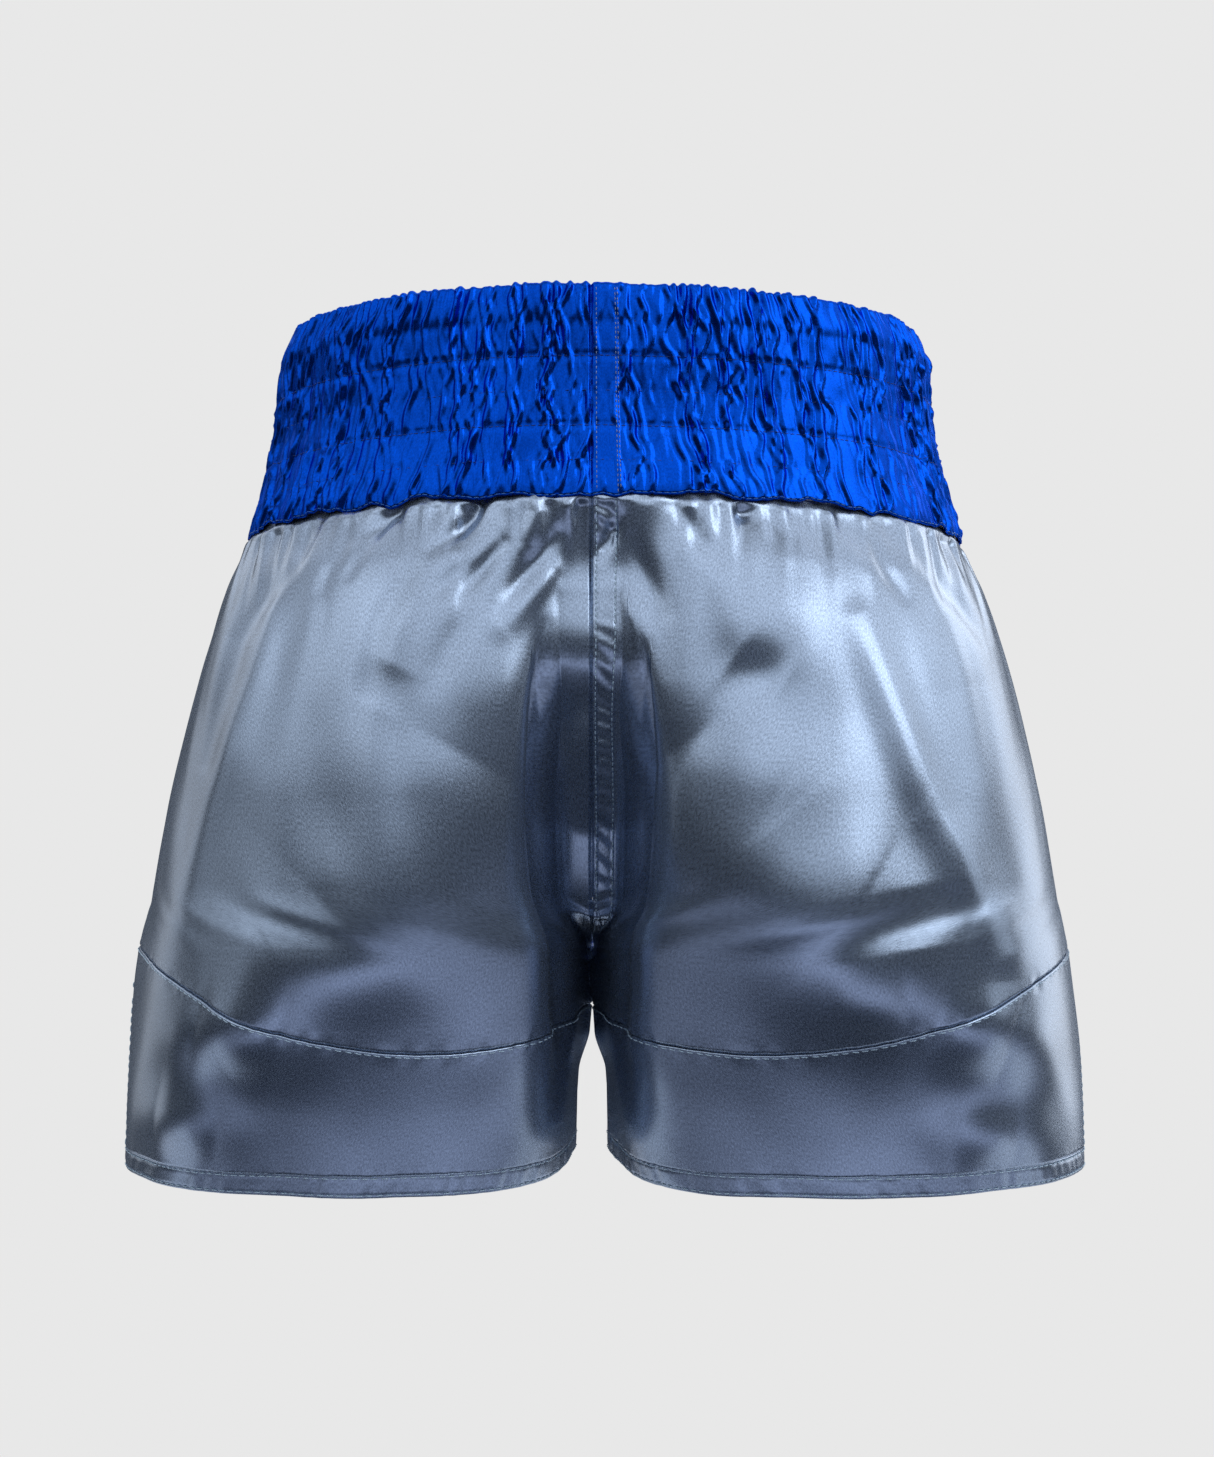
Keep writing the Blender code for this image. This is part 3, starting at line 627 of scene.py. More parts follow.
def body_relief(points, u, levels, side):
    """Height in mm of folds, pleats and soft waves. points are on the smooth surface."""
    x, z = as_seen(points)
    s = across(u, levels) / MM * side
    below = np.maximum(0, (BAND_BOTTOM - levels) / MM)
    behind = ramp(-points[:, 1] / MM, 0, 50)
    height = pleats(s + 500, below, side) * ramp(below, 0.0, 5.0)
    broad = 1.0 * noise(s / 48 + 40, levels / MM / 70, 41)
    fine = 0.35 * noise(s / 22 + 40, levels / MM / 30, 42)
    height += broad + fine
    above_hem = (levels - HEM) / MM
    height += 1.4 * noise(s / 30 + 9, above_hem / 90, 43) * np.exp(-above_hem / 45)
    folds = np.zeros(len(x))
    for path, width_start, width_end, depth in BACK_FOLDS:
        gain = FOLD_GAIN if abs(width_start) < NARROW_FOLD else 1
        folds += stroke(x, z, path, width_start, width_end, depth * gain)
    mirrored_folds = np.zeros(len(x))
    for path, width_start, width_end, depth in BACK_FOLDS[::2]:
        mirrored_folds += stroke(-x * 0.96, z * 0.97, path, width_start, width_end, depth * 0.8)
    height = height + folds * behind + mirrored_folds * (1 - behind)
    to_yoke = (levels - yoke_level(u)) / MM
    height += 0.35 * noise(s / 2.6 + 90, levels / MM / 40, 44) * np.exp(-((to_yoke / 3.5) ** 2))
    return height + 0.45 * noise(s / 3.4 + 60, levels / MM / 40, 45) * np.exp(-((above_hem - 5) / 5) ** 2)


# Ripples across the strip of the centre back seam: z from, z to, pitch and height, in mm
SEAM_PUCKERS = ((-68, -104, 7.5, 0.45), (-138, -200, 6.0, 0.42), (-200, -250, 5.4, 0.5))


def seam_relief(u, levels, side, front):
    """Height in mm of the centre seam, the side seam and the inseam."""
    here = across(u, levels) / MM
    whole = across(np.ones(len(u)), levels) / MM
    middle = across(np.full(len(u), 0.5), levels) / MM
    centre = (whole - here if front else here) * side
    height = np.zeros(len(u))
    above_crotch = ramp(levels / MM, CROTCH / MM + 2, CROTCH / MM + 12)
    raised = ramp(centre, 0.0, 1.2) * ramp(-centre, -FELL_WIDTH - 1.0, -FELL_WIDTH + 0.6)
    z = levels / MM
    ripple = np.zeros(len(u))
    for start, end, pitch, size in SEAM_PUCKERS:
        zone = ramp(z, end - 5, end + 5) * ramp(-z, -start - 5, -start + 5)
        slant = z + 0.35 * centre + 2.0 * noise(z / 9, centre / 9, 51)
        ripple += zone * size * np.sin(2 * math.pi * slant / pitch)
    strip = ramp(centre, 0.5, 2.5) * ramp(-centre, -FELL_WIDTH, -FELL_WIDTH + 2)
    height += above_crotch * (0.35 * raised + 0.8 * ripple * strip)
    height -= 1.0 * np.exp(-((centre / 0.8) ** 2))
    height -= 0.5 * np.exp(-(((here - middle) / 0.7) ** 2))
    for line in FELL_ROWS:
        height -= above_crotch * 0.3 * np.exp(-(((centre - line) / 0.6) ** 2))
    return height


# Folds that hang over the hollows beside the centre seams: levels and strength, left and right
FOLD_LEVELS = (-330, -296, -262, -225, -190, -160, -135)
FOLD_STRENGTH = {-1: (0.0, 0.5, 1.0, 1.15, 1.1, 0.75, 0.0), 1: (0.0, 0.45, 0.9, 1.2, 1.15, 0.8, 0.0)}


def overhang(u, levels, side):
    """How far the sides of the hollow at the centre seams move away from the middle, in metres."""
    strength = np.interp(levels / MM, FOLD_LEVELS, FOLD_STRENGTH[side])
    wall = 9.5 * np.exp(-(((u - 0.118) / 0.021) ** 2)) - 3.0 * np.exp(-(((u - 0.172) / 0.022) ** 2))
    before = 6.0 * np.exp(-(((u - 0.895) / 0.021) ** 2)) - 2.0 * np.exp(-(((u - 0.84) / 0.022) ** 2))
    return strength * (wall + before) * MM


HOLLOW_LEVELS = (-256, -246, -228, -205, -175, -150, -125)
HOLLOW_DEPTHS = (0, 8, 22, 22, 13, 4, 0)  # mm


def sink(u, levels):
    """How far the cloth beside the back centre seam sinks in between the folds, in metres."""
    depth = np.interp(levels / MM, HOLLOW_LEVELS, HOLLOW_DEPTHS)
    return depth * (1 - ramp(u, 0.075, 0.115)) * MM


LEGS_MEET = ((-318, -298), (-266, -259))  # mm, where the legs start and stop to touch at the inseams
LEGS_MEET_BY = 3.6  # mm
LEGS_MEET_SLANT = 2.0  # mm


def legs_meet(u, levels, y, side):
    """How far the inner sides of the legs move to touch each other under the crotch, in metres."""
    z = levels / MM
    (bottom, full_from), (full_to, top) = LEGS_MEET
    near_inseam = 1 - ramp(np.minimum(u, 1 - u), 0, 0.06)
    share = ramp(z, bottom, full_from) * (1 - ramp(z, full_to, top)) * near_inseam
    slant = side * LEGS_MEET_SLANT * np.tanh((y / MM - 4) / 12)
    return share * (slant - LEGS_MEET_BY) * MM


def body_outer(u, levels, side, front, extra=0.0, seams=True):
    """Points on the outside of the body on one side, and their normals."""
    u, levels = np.broadcast_arrays(np.asarray(u, float), np.asarray(levels, float))
    inside = np.clip(u, 3e-4, 1 - 3e-4)
    base = body_surface(u, levels)
    normal = normals_of(body_surface, inside, levels)
    turn = np.array([side, 1, 1])
    base[:, 0] += overhang(u, levels, side) + legs_meet(u, levels, base[:, 1], side)
    base[:, 1] += sink(u, levels)
    base, normal = base * turn, normal * turn
    relief = body_relief(base, u, levels, side)
    if seams:
        relief = relief + seam_relief(u, levels, side, front)
    # front and back meet at the inseam, so nothing stands out there
    here, whole = across(u, levels), across(np.ones(len(u)), levels)
    from_inseam = ramp(np.minimum(here, whole - here) / MM, 0, 14)
    relief = relief * (1 - ramp(-levels / MM, 1 - CROTCH / MM, 12 - CROTCH / MM) * (1 - from_inseam))
    relief = relief + extra
    return lean(base + normal * (relief * MM)[:, None]), normal


# ---------------------------------------------------------------- materials

COLOURS = {
    "blue": (0.0, 0.048, 0.42),
    "steel": (0.29, 0.37, 0.50),
}


def new_material(name):
    made = bpy.data.materials.new(name)
    made.use_nodes = True
    nodes = made.node_tree.nodes
    return made, nodes, made.node_tree.links, nodes["Principled BSDF"]


def satin(name, colour, shadow_share, roughness, metallic, bump, tint=(1, 1, 1)):
    """Satin: long floats that shine along one way, fine grain, and slightly uneven colour."""
    made, nodes, links, shader = new_material(name)
    place = nodes.new("ShaderNodeTexCoord")
    stretch = nodes.new("ShaderNodeMapping")
    stretch.inputs["Scale"].default_value = (1600, 900, 1)
    grain = nodes.new("ShaderNodeTexNoise")
    grain.inputs["Scale"].default_value = 1.0
    grain.inputs["Detail"].default_value = 3
    cloudy = nodes.new("ShaderNodeTexNoise")
    cloudy.inputs["Scale"].default_value = 22
    cloudy.inputs["Detail"].default_value = 2
    links.new(place.outputs["UV"], stretch.inputs["Vector"])
    links.new(stretch.outputs["Vector"], grain.inputs["Vector"])
    links.new(place.outputs["Object"], cloudy.inputs["Vector"])
    both = nodes.new("ShaderNodeMath")
    both.operation = "MULTIPLY_ADD"
    links.new(cloudy.outputs["Fac"], both.inputs[0])
    both.inputs[1].default_value = 0.35
    links.new(grain.outputs["Fac"], both.inputs[2])
    ramp_node = nodes.new("ShaderNodeValToRGB")
    ramp_node.color_ramp.elements[0].position = 0.48
    ramp_node.color_ramp.elements[1].position = 0.88
    ramp_node.color_ramp.elements[0].color = (*[c * shadow_share for c in colour], 1)
    ramp_node.color_ramp.elements[1].color = (*[min(1, c * 1.18) for c in colour], 1)
    links.new(both.outputs[0], ramp_node.inputs["Fac"])
    links.new(ramp_node.outputs["Color"], shader.inputs["Base Color"])
    rough = nodes.new("ShaderNodeMapRange")
    rough.inputs["To Min"].default_value = roughness - 0.05
    rough.inputs["To Max"].default_value = roughness + 0.06
    links.new(grain.outputs["Fac"], rough.inputs["Value"])
    links.new(rough.outputs["Result"], shader.inputs["Roughness"])
    lift = nodes.new("ShaderNodeBump")
    lift.inputs["Strength"].default_value = bump
    lift.inputs["Distance"].default_value = 0.0002
    links.new(grain.outputs["Fac"], lift.inputs["Height"])
    links.new(lift.outputs["Normal"], shader.inputs["Normal"])
    shader.inputs["Metallic"].default_value = metallic
    shader.inputs["Specular Tint"].default_value = (*tint, 1)
    return made


def plain_cloth(name, colour, roughness, scale, bump):
    """Matt woven cloth or thread: a fine crossed weave with uneven colour."""
    made, nodes, links, shader = new_material(name)
    place = nodes.new("ShaderNodeTexCoord")
    weave = nodes.new("ShaderNodeTexNoise")
    weave.inputs["Scale"].default_value = scale
    weave.inputs["Detail"].default_value = 4
    links.new(place.outputs["Object"], weave.inputs["Vector"])
    colours = nodes.new("ShaderNodeValToRGB")
    colours.color_ramp.elements[0].position = 0.3
    colours.color_ramp.elements[1].position = 0.75
    colours.color_ramp.elements[0].color = (*[c * 0.7 for c in colour], 1)
    colours.color_ramp.elements[1].color = (*[min(1, c * 1.15) for c in colour], 1)
    links.new(weave.outputs["Fac"], colours.inputs["Fac"])
    links.new(colours.outputs["Color"], shader.inputs["Base Color"])
    lift = nodes.new("ShaderNodeBump")
    lift.inputs["Strength"].default_value = bump
    lift.inputs["Distance"].default_value = 0.0001
    links.new(weave.outputs["Fac"], lift.inputs["Height"])
    links.new(lift.outputs["Normal"], shader.inputs["Normal"])
    shader.inputs["Roughness"].default_value = roughness
    return made


MATERIALS = {
    "blue": satin("blue_satin", COLOURS["blue"], 0.7, 0.22, 0.93, 0.12, (0.3, 0.55, 1.0)),
    "steel": satin("steel_satin", COLOURS["steel"], 0.62, 0.27, 0.85, 0.18),
    "thread_blue": plain_cloth("thread_blue", (0.0, 0.025, 0.15), 0.5, 2500, 0.4),
    "thread_edge": plain_cloth("thread_edge", (0.03, 0.16, 0.50), 0.5, 2500, 0.4),
    "thread_pale": plain_cloth("thread_pale", (0.20, 0.28, 0.44), 0.6, 2500, 0.4),
    "thread_steel": plain_cloth("thread_steel", (0.40, 0.54, 0.66), 0.6, 2500, 0.4),
    "elastic": plain_cloth("woven_elastic", (0.80, 0.80, 0.78), 0.8, 1500, 0.8),
    "label": plain_cloth("woven_label", (0.86, 0.86, 0.84), 0.7, 2200, 0.5),
}


# ---------------------------------------------------------------- meshes


def sheet_mesh(name, points, uvs, rows, columns, material, thick=0.35 * MM):
    """A grid of points, stored row by row, as cloth whose outside is the grid and whose thickness is inside."""
    faces = np.arange((rows - 1) * columns).reshape(rows - 1, columns)[:, :-1].ravel()
    quads = np.stack([faces, faces + 1, faces + columns + 1, faces + columns], 1)
    mesh = bpy.data.meshes.new(name)
    mesh.from_pydata(points.tolist(), [], quads.tolist())
    layer = mesh.uv_layers.new(name="cloth")
    layer.data.foreach_set("uv", uvs[quads.ravel()].ravel())
    mesh.materials.append(material)
    mesh.shade_smooth()
    obj = bpy.data.objects.new(name, mesh)
    bpy.context.scene.collection.objects.link(obj)
    solidify = obj.modifiers.new("cloth thickness", "SOLIDIFY")
    solidify.thickness = thick
    solidify.offset = -1
    return obj


def apply_modifiers(obj):
    depsgraph = bpy.context.evaluated_depsgraph_get()
    mesh = bpy.data.meshes.new_from_object(obj.evaluated_get(depsgraph))
    obj.modifiers.clear()
    obj.data = mesh


# ---------------------------------------------------------------- waistband

BAND_COLUMNS = 760
OUTER_ROWS = 52
INNER_ROWS = 7
TURN_ROWS = 6
CASING_INNER = 4.3 * MM
SEAM_OVERLAP = 0.006  # radians that the left casing runs under the right one


def casing_points(side):
    """The folded strip of one half: inner wall from its bottom, over the top, and down the outside."""
    start = -SEAM_OVERLAP if side < 0 else 0.0
    t = np.linspace(0, 1, BAND_COLUMNS)
    angles = start + (math.pi - start) * (0.72 * t + 0.28 * t**2.5)
    rows = []
    inner_levels = np.linspace(BAND_BOTTOM + 1.5 * MM, BAND_TOP - 1 * MM, INNER_ROWS)
    for level in inner_levels:
        share = np.full(len(angles), (BAND_TOP - level) / (BAND_TOP - BAND_BOTTOM))
        relief = band_relief(angles * side, np.clip(share, 0, 1)) * 0.5
        base = band_surface(angles, np.full(len(angles), level))
        normal = normals_of(band_surface, angles, np.full(len(angles), level))
        rows.append(base - normal * (CASING_INNER + relief * MM)[:, None])
    top_outer = band_relief(angles * side, np.zeros(len(angles)))
    for k in range(1, TURN_ROWS + 1):
        turn = math.pi * k / (TURN_ROWS + 1)
        level = np.full(len(angles), BAND_TOP)
        base = band_surface(angles, level)
        normal = normals_of(band_surface, angles, level)
        centre = base - normal * (CASING_INNER / 2)
        inner_reach = CASING_INNER / 2 + 0.5 * top_outer * MM
        outer_reach = CASING_INNER / 2 + top_outer * MM
        share = (1 - math.cos(turn)) / 2
        reach = inner_reach * (1 - share) + outer_reach * share
        rise = (1.6 * MM + 0.55 * top_outer * MM) * math.sin(turn)
        rows.append(centre - normal * (math.cos(turn) * reach)[:, None] + np.array([0, 0, 1]) * rise[:, None])
    turn_side = np.array([side, 1, 1])
    rows = [lean(row * turn_side) for row in rows]
    for share in np.linspace(0, 1, OUTER_ROWS):
        rows.append(band_outer(angles * side, np.full(len(angles), share))[0])
    return np.array(rows), angles


def make_casings():
    made = []
    for name, side in SIDES.items():
        rows, angles = casing_points(side)
        steps = np.linalg.norm(np.diff(rows.mean(axis=1), axis=0), axis=1)
        down = np.concatenate([[0], np.cumsum(steps)])
        arcs = np.interp(angles, BAND_ANGLES, BAND_ARCS) * MM
        uvs = np.stack(np.meshgrid(arcs, down), -1).reshape(-1, 2)
        points = rows.reshape(-1, 3)
        obj = sheet_mesh(f"waistband_{name}", points, uvs, len(rows), len(angles), MATERIALS["blue"])
        outer = obj.data.polygons[(len(rows) - 20) * (len(angles) - 1) + len(angles) // 2]
        if outer.normal.x * side < 0:
            obj.data.flip_normals()
        apply_modifiers(obj)
        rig.ride(obj, "root")
        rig.replaces(obj, f"waistband_casing_{name}")
        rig.slot(obj, "waistband_satin")
        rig.sheet(obj, flat=(0.46, 0.187), held="gathered", rests_on=["elastic_band_1", "elastic_band_6"])
        made.append(obj)
    return made


# ---------------------------------------------------------------- body and hem

BACK_COLUMNS = 250
BODY_ROWS = 190
HEM_ROWS = 90
SEAM_DENSITY = 0.35


def column_places(start, end, count):
    """u from start to end, closer together near the centre seam."""
    t = np.linspace(0, 1, count)
    t = (1 - SEAM_DENSITY) * t + SEAM_DENSITY * t**2.2
    return start + (end - start) * t


def flat_cut(points, rows, columns):
    """The size of the piece of cloth that a smooth grid of points was cut from: width, length and area."""
    grid = points.reshape(rows, columns, 3)
    across_row = np.linalg.norm(np.diff(grid, axis=1), axis=2)
    down_column = np.linalg.norm(np.diff(grid, axis=0), axis=2)
    width, length = across_row.sum(axis=1).max(), down_column.sum(axis=0).max()
    right, down = np.diff(grid, axis=1)[:-1], np.diff(grid, axis=0)[:, :-1]
    area = np.linalg.norm(np.cross(right, down), axis=2).sum()
    return {"flat": (float(width), float(length)), "area": float(min(area, width * length))}


def close_at_ends(count):
    t = np.linspace(0, 1, count)
    return 0.3 * t + 0.7 * (0.5 - 0.5 * np.cos(math.pi * t))


def panel_grid(side, front, top, bottom, start, end, columns, rows, extra=None, widen=None, inner=None):
    """Points and cloth coordinates of a panel between two lines of level over u."""
    u_back = column_places(start, end, columns)
    t = 1 - close_at_ends(rows)
    grid_u, grid_t = np.meshgrid(u_back, t)
    u, t = grid_u.ravel(), grid_t.ravel()
    low, high = bottom(u), top(u)
    levels = low + (high - low) * t
    if widen is not None:
        share = np.clip((u - start) / (end - start), 0, 1)
        u = u - widen(levels) * share**6
    if inner is not None:
        share = np.clip((u - start) / (end - start), 0, 1)
        u = u + inner(levels) * (1 - share) ** 6
    here = 1 - u if front else u
    lift = 0.0 if extra is None else extra(u, levels)
    points, _ = body_outer(here, levels, side, front, lift)
    uvs = np.stack([across(here, levels), levels], 1)
    return points, uvs, flat_cut(body_surface(here, levels), rows, columns)


def finish_panel(name, points, uvs, rows, columns, side, node):
    obj = sheet_mesh(name, points, uvs, rows, columns, MATERIALS["steel"])
    grid = points.reshape(rows, columns, 3)
    centre = Vector((side * 0.105, 0.0, float(grid[rows // 2, columns // 2, 2])))
    middle = obj.data.polygons[(rows // 2) * (columns - 1) + columns // 2]
    if middle.normal.dot(Vector(grid[rows // 2, columns // 2]) - centre) < 0:
        obj.data.flip_normals()
    apply_modifiers(obj)
    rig.ride(obj, "root")
    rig.replaces(obj, node)
    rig.slot(obj, "body_satin")
    return obj


HEM_BAND = 9.0 * MM
SLIT_BAND = 6.0 * MM
UNDER = 0.85  # mm, how far a tucked layer lies below the one over it
LAP = 3.0 * MM
GUSSET_MIDDLE = -251.0 * MM
GUSSET_REACH = 29.0 * MM
GUSSET_HALF_WIDTH = 0.03  # in u
GUSSET_COLUMNS = 16
GUSSET_ROWS = 60
GUSSET_LEVELS = (-277.5 * MM, CROTCH, -224.0 * MM)


def yoke_at(u, front):
    return yoke_level(1 - u if front else u)


def gusset_edge(levels):
    """How far the gusset reaches from the centre line, in u."""
    off = (levels - GUSSET_MIDDLE) / GUSSET_REACH
    return GUSSET_HALF_WIDTH * (1 - off**2)


def panel_start(levels):
    return np.maximum(0, gusset_edge(levels))


def make_panels():
    """The four large panels. They tuck under the waistband at the top and under the yoke's lap below."""
    for front in (False, True):
        face = "front" if front else "back"

        def top(u):
            return np.full(len(u), BAND_BOTTOM + BODY_TUCK)

        def bottom(u):
            return yoke_at(u, front) - LAP

        def tuck(u, z):
            under_band = ramp(z / MM, BAND_BOTTOM / MM - 2.5, BAND_BOTTOM / MM + 1.5)
            under_yoke = ramp((yoke_at(u, front) - z) / MM, -1.5, 0.1)
            return -1.3 * under_band - UNDER * under_yoke

        for name, side in SIDES.items():
            start = -0.0025 if side < 0 else 0.0
            points, uvs, cut = panel_grid(
                side, front, top, bottom, start, 0.5005, BACK_COLUMNS, BODY_ROWS, tuck, None, panel_start
            )
            obj = finish_panel(f"{face}_panel_{name}_cloth", points, uvs, BODY_ROWS, BACK_COLUMNS, side,
                               f"{face}_panel_{name}")
            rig.sheet(obj, held="draped", **cut)


def make_hems():
    """The four shaped panels below the curved seam. Their folded top edge laps over the large panels."""
    for front in (False, True):
        face = "front" if front else "back"

        def top(u):
            return yoke_at(u, front)

        def bottom(u):
            return np.full(len(u), HEM + 1.5 * MM)

        def layers(u, z):
            fold = 0.1 - 0.6 * np.exp(-(((yoke_at(u, front) - z) / MM / 0.25) ** 2))
            to_slit = (0.5 - slit_edge(z) - u) / U_PER_METRE
            in_hem = ramp((HEM + HEM_BAND - z) / MM, 0.0, 0.8)
            in_slit = ramp((SLIT_BAND - to_slit) / MM, 0.0, 1.2) * ramp((SLIT_TOP - z) / MM, -1, 2)
            return fold - (UNDER + 0.3) * np.maximum(in_hem, in_slit)

        def side_gap(levels):
            return slit_edge(levels) + 1.2 * MM * U_PER_METRE * ramp((SLIT_TOP - levels) / MM, 0, 4)

        for name, side in SIDES.items():
            points, uvs, cut = panel_grid(
                side, front, top, bottom, 0.0, 0.5, BACK_COLUMNS, HEM_ROWS, layers, side_gap
            )
            obj = finish_panel(f"{face}_hem_{name}_cloth", points, uvs, HEM_ROWS, BACK_COLUMNS, side,
                               f"{face}_hem_panel_{name}")
            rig.sheet(obj, held="draped", **cut)


def fold_path(reach):
    """A strip folded over an edge: distance from the fold in mm, and height over the cloth in mm."""
    reach = reach / MM
    path = [(reach, -0.25), (reach - 0.15, 0.0), (reach - 0.5, 0.04)]
    path += [(reach - 1.0, -0.1), (reach - 1.6, 0.05)]
    path += [(reach * share, 0.08) for share in (0.7, 0.6, 0.5, 0.4, 0.3)]
    path += [(1.9, 0.06), (1.3, -0.1), (0.8, 0.04), (0.3, -0.02), (0.08, -0.2), (0.0, -0.6), (0.08, -1.0)]
    path += [(0.4, -1.4), (1.0, -1.65), (2.0, -1.8), (reach * 0.6, -1.85), (reach, -1.85)]
    return np.array(path)


HEM_CORNER = (5 * MM, 4 * MM)  # width and height of the rounded corner at the slit


def make_hem_bindings():
    path = fold_path(HEM_BAND)
    for front in (False, True):
        face = "front" if front else "back"
        end = 0.5 - SLIT_HALF_OPENING - 0.6 * MM * U_PER_METRE
        u_row = column_places(0.0, end, BACK_COLUMNS)
        for name, side in SIDES.items():
            u = np.tile(u_row, len(path))
            corner = np.clip(1 - (end - u) / U_PER_METRE / HEM_CORNER[0], 0, 1)
            lift = HEM_CORNER[1] * (1 - np.sqrt(1 - corner**2))
            distance = np.repeat(path[:, 0], len(u_row)) * MM
            levels = HEM + np.maximum(distance, lift * np.clip(1 - distance / HEM_BAND, 0, 1) + distance)
            here = 1 - u if front else u
            points, _ = body_outer(here, levels, side, front, np.repeat(path[:, 1], len(u_row)))
            down = np.repeat(-np.arange(len(path)) * 0.9 * MM, len(u_row))
            uvs = np.stack([across(here, levels), down], 1)
            obj = finish_panel(f"{face}_hem_binding_{name}", points, uvs, len(path), BACK_COLUMNS, side,
                               f"hem_binding_{face}_{name}")
            width = float(across(np.array([end]), np.array([HEM]))[0])
            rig.sheet(obj, flat=(round(width, 4), 0.0195), held="folded")


SLIT_ROWS = 90


def make_slit_bindings():
    path = fold_path(SLIT_BAND)
    share = np.linspace(0, 1, SLIT_ROWS)
    column = HEM + 2.5 * MM + (SLIT_TOP + 0.5 * MM - HEM - 2.5 * MM) * share
    for front in (False, True):
        face = "front" if front else "back"
        for name, side in SIDES.items():
            levels = np.tile(column, len(path))
            distance = np.repeat(path[:, 0], SLIT_ROWS) * MM
            u = 0.5 - slit_edge(levels) - distance * U_PER_METRE - 0.0004
            here = 1 - u if front else u
            extra = np.repeat(path[:, 1], SLIT_ROWS) + 0.12
            points, _ = body_outer(here, levels, side, front, extra)
            uvs = np.stack([levels, np.repeat(-np.arange(len(path)) * 0.7 * MM, SLIT_ROWS)], 1)
            obj = finish_panel(f"{face}_slit_binding_{name}", points, uvs, len(path), SLIT_ROWS, side,
                               f"slit_binding_{face}_{name}")
            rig.sheet(obj, flat=(0.0135, round(float(column[-1] - column[0]), 4)), held="folded")


def make_gusset():
    """The diamond between the legs. It runs a little way under the panels."""
    shape = bmesh.new()
    for side in SIDES.values():
        for front in (False, True):
            t, up = np.meshgrid(np.linspace(0, 1, GUSSET_COLUMNS), np.linspace(0, 1, GUSSET_ROWS))
            t, up = t.ravel(), up.ravel()
            levels = np.interp(up, (0, 0.4, 1), GUSSET_LEVELS)
            reach = gusset_edge(levels) + 0.003
            u = reach * t
            points, _ = body_outer(1 - u if front else u, levels, side, front, -UNDER * ramp(t, 0.8, 0.95))
            verts = [shape.verts.new(point) for point in points]
            for row in range(GUSSET_ROWS - 1):
                for column in range(GUSSET_COLUMNS - 1):
                    k = row * GUSSET_COLUMNS + column
                    ring = (k, k + 1, k + GUSSET_COLUMNS + 1, k + GUSSET_COLUMNS)
                    shape.faces.new([verts[j] for j in ring])
    bmesh.ops.remove_doubles(shape, verts=shape.verts, dist=0.02 * MM)
    bmesh.ops.recalc_face_normals(shape, faces=shape.faces)
    mesh = bpy.data.meshes.new("gusset_cloth")
    shape.to_mesh(mesh)
    shape.free()
    layer = mesh.uv_layers.new(name="cloth")
    for loop in mesh.loops:
        point = mesh.vertices[loop.vertex_index].co
        layer.data[loop.index].uv = (point.x, point.y - point.z)
    mesh.materials.append(MATERIALS["steel"])
    mesh.shade_smooth()
    obj = bpy.data.objects.new("gusset_cloth", mesh)
    bpy.context.scene.collection.objects.link(obj)
    solidify = obj.modifiers.new("cloth thickness", "SOLIDIFY")
    solidify.thickness = 0.35 * MM
    solidify.offset = 0
    apply_modifiers(obj)
    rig.ride(obj, "root")
    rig.replaces(obj, "crotch_gusset")
    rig.slot(obj, "body_satin")


# ---------------------------------------------------------------- stitches

THREAD_SIDES = 6
# A stitch is a chain of rings: place along it, height in mm, share of the thread's radius
THREAD_RINGS = np.array([
    (0.0, -0.10, 0.35),
    (0.16, 0.08, 0.9),
    (0.5, 0.16, 1.0),
    (0.84, 0.08, 0.9),
    (1.0, -0.10, 0.35),
])
CHANNEL_STITCH = (2.7 * MM, 2.1 * MM)  # pitch and length
EDGE_STITCH = (3.0 * MM, 2.3 * MM)
BAND_SEAM_STITCH = (2.1 * MM, 1.3 * MM)
BODY_SEAM_STITCH = (2.6 * MM, 1.9 * MM)
YOKE_STITCH = (4.0 * MM, 2.9 * MM)
HEM_STITCH = (4.0 * MM, 3.0 * MM)
EDGE_STITCH_SHARE = 1 - 0.9 / 88  # of the waistband's height
BAND_SEAM_ROWS = (*FELL_ROWS, 10.9)  # mm from the centre seam
BODY_SEAM_LEVELS = (-91 * MM, -247 * MM)
YOKE_STITCH_DROP = 1.1 * MM
HEM_STITCH_ROWS = (8.0, 1.3)  # mm above the hem
SLIT_STITCH_ROWS = (1.3, 4.8)  # mm from the slit's edge


def stitches_on(line, normals, pitch, length, slant, seed):
    """Ends and normals of stitches along a line of points."""
    steps = np.linalg.norm(np.diff(line, axis=0), axis=1)
    along_it = np.concatenate([[0], np.cumsum(steps)])
    count = int(along_it[-1] / pitch)
    rng = np.random.default_rng(seed)
    middles = (np.arange(count) + 0.5) * pitch + rng.normal(0, 0.05 * pitch, count)
    pick = lambda at, values: np.stack([np.interp(at, along_it, values[:, k]) for k in range(3)], 1)
    start, end = pick(middles - length / 2, line), pick(middles + length / 2, line)
    normal = pick(middles, normals)
    normal /= np.linalg.norm(normal, axis=1)[:, None]
    sideways = np.cross(end - start, normal)
    return start - sideways * slant, end + sideways * slant, normal


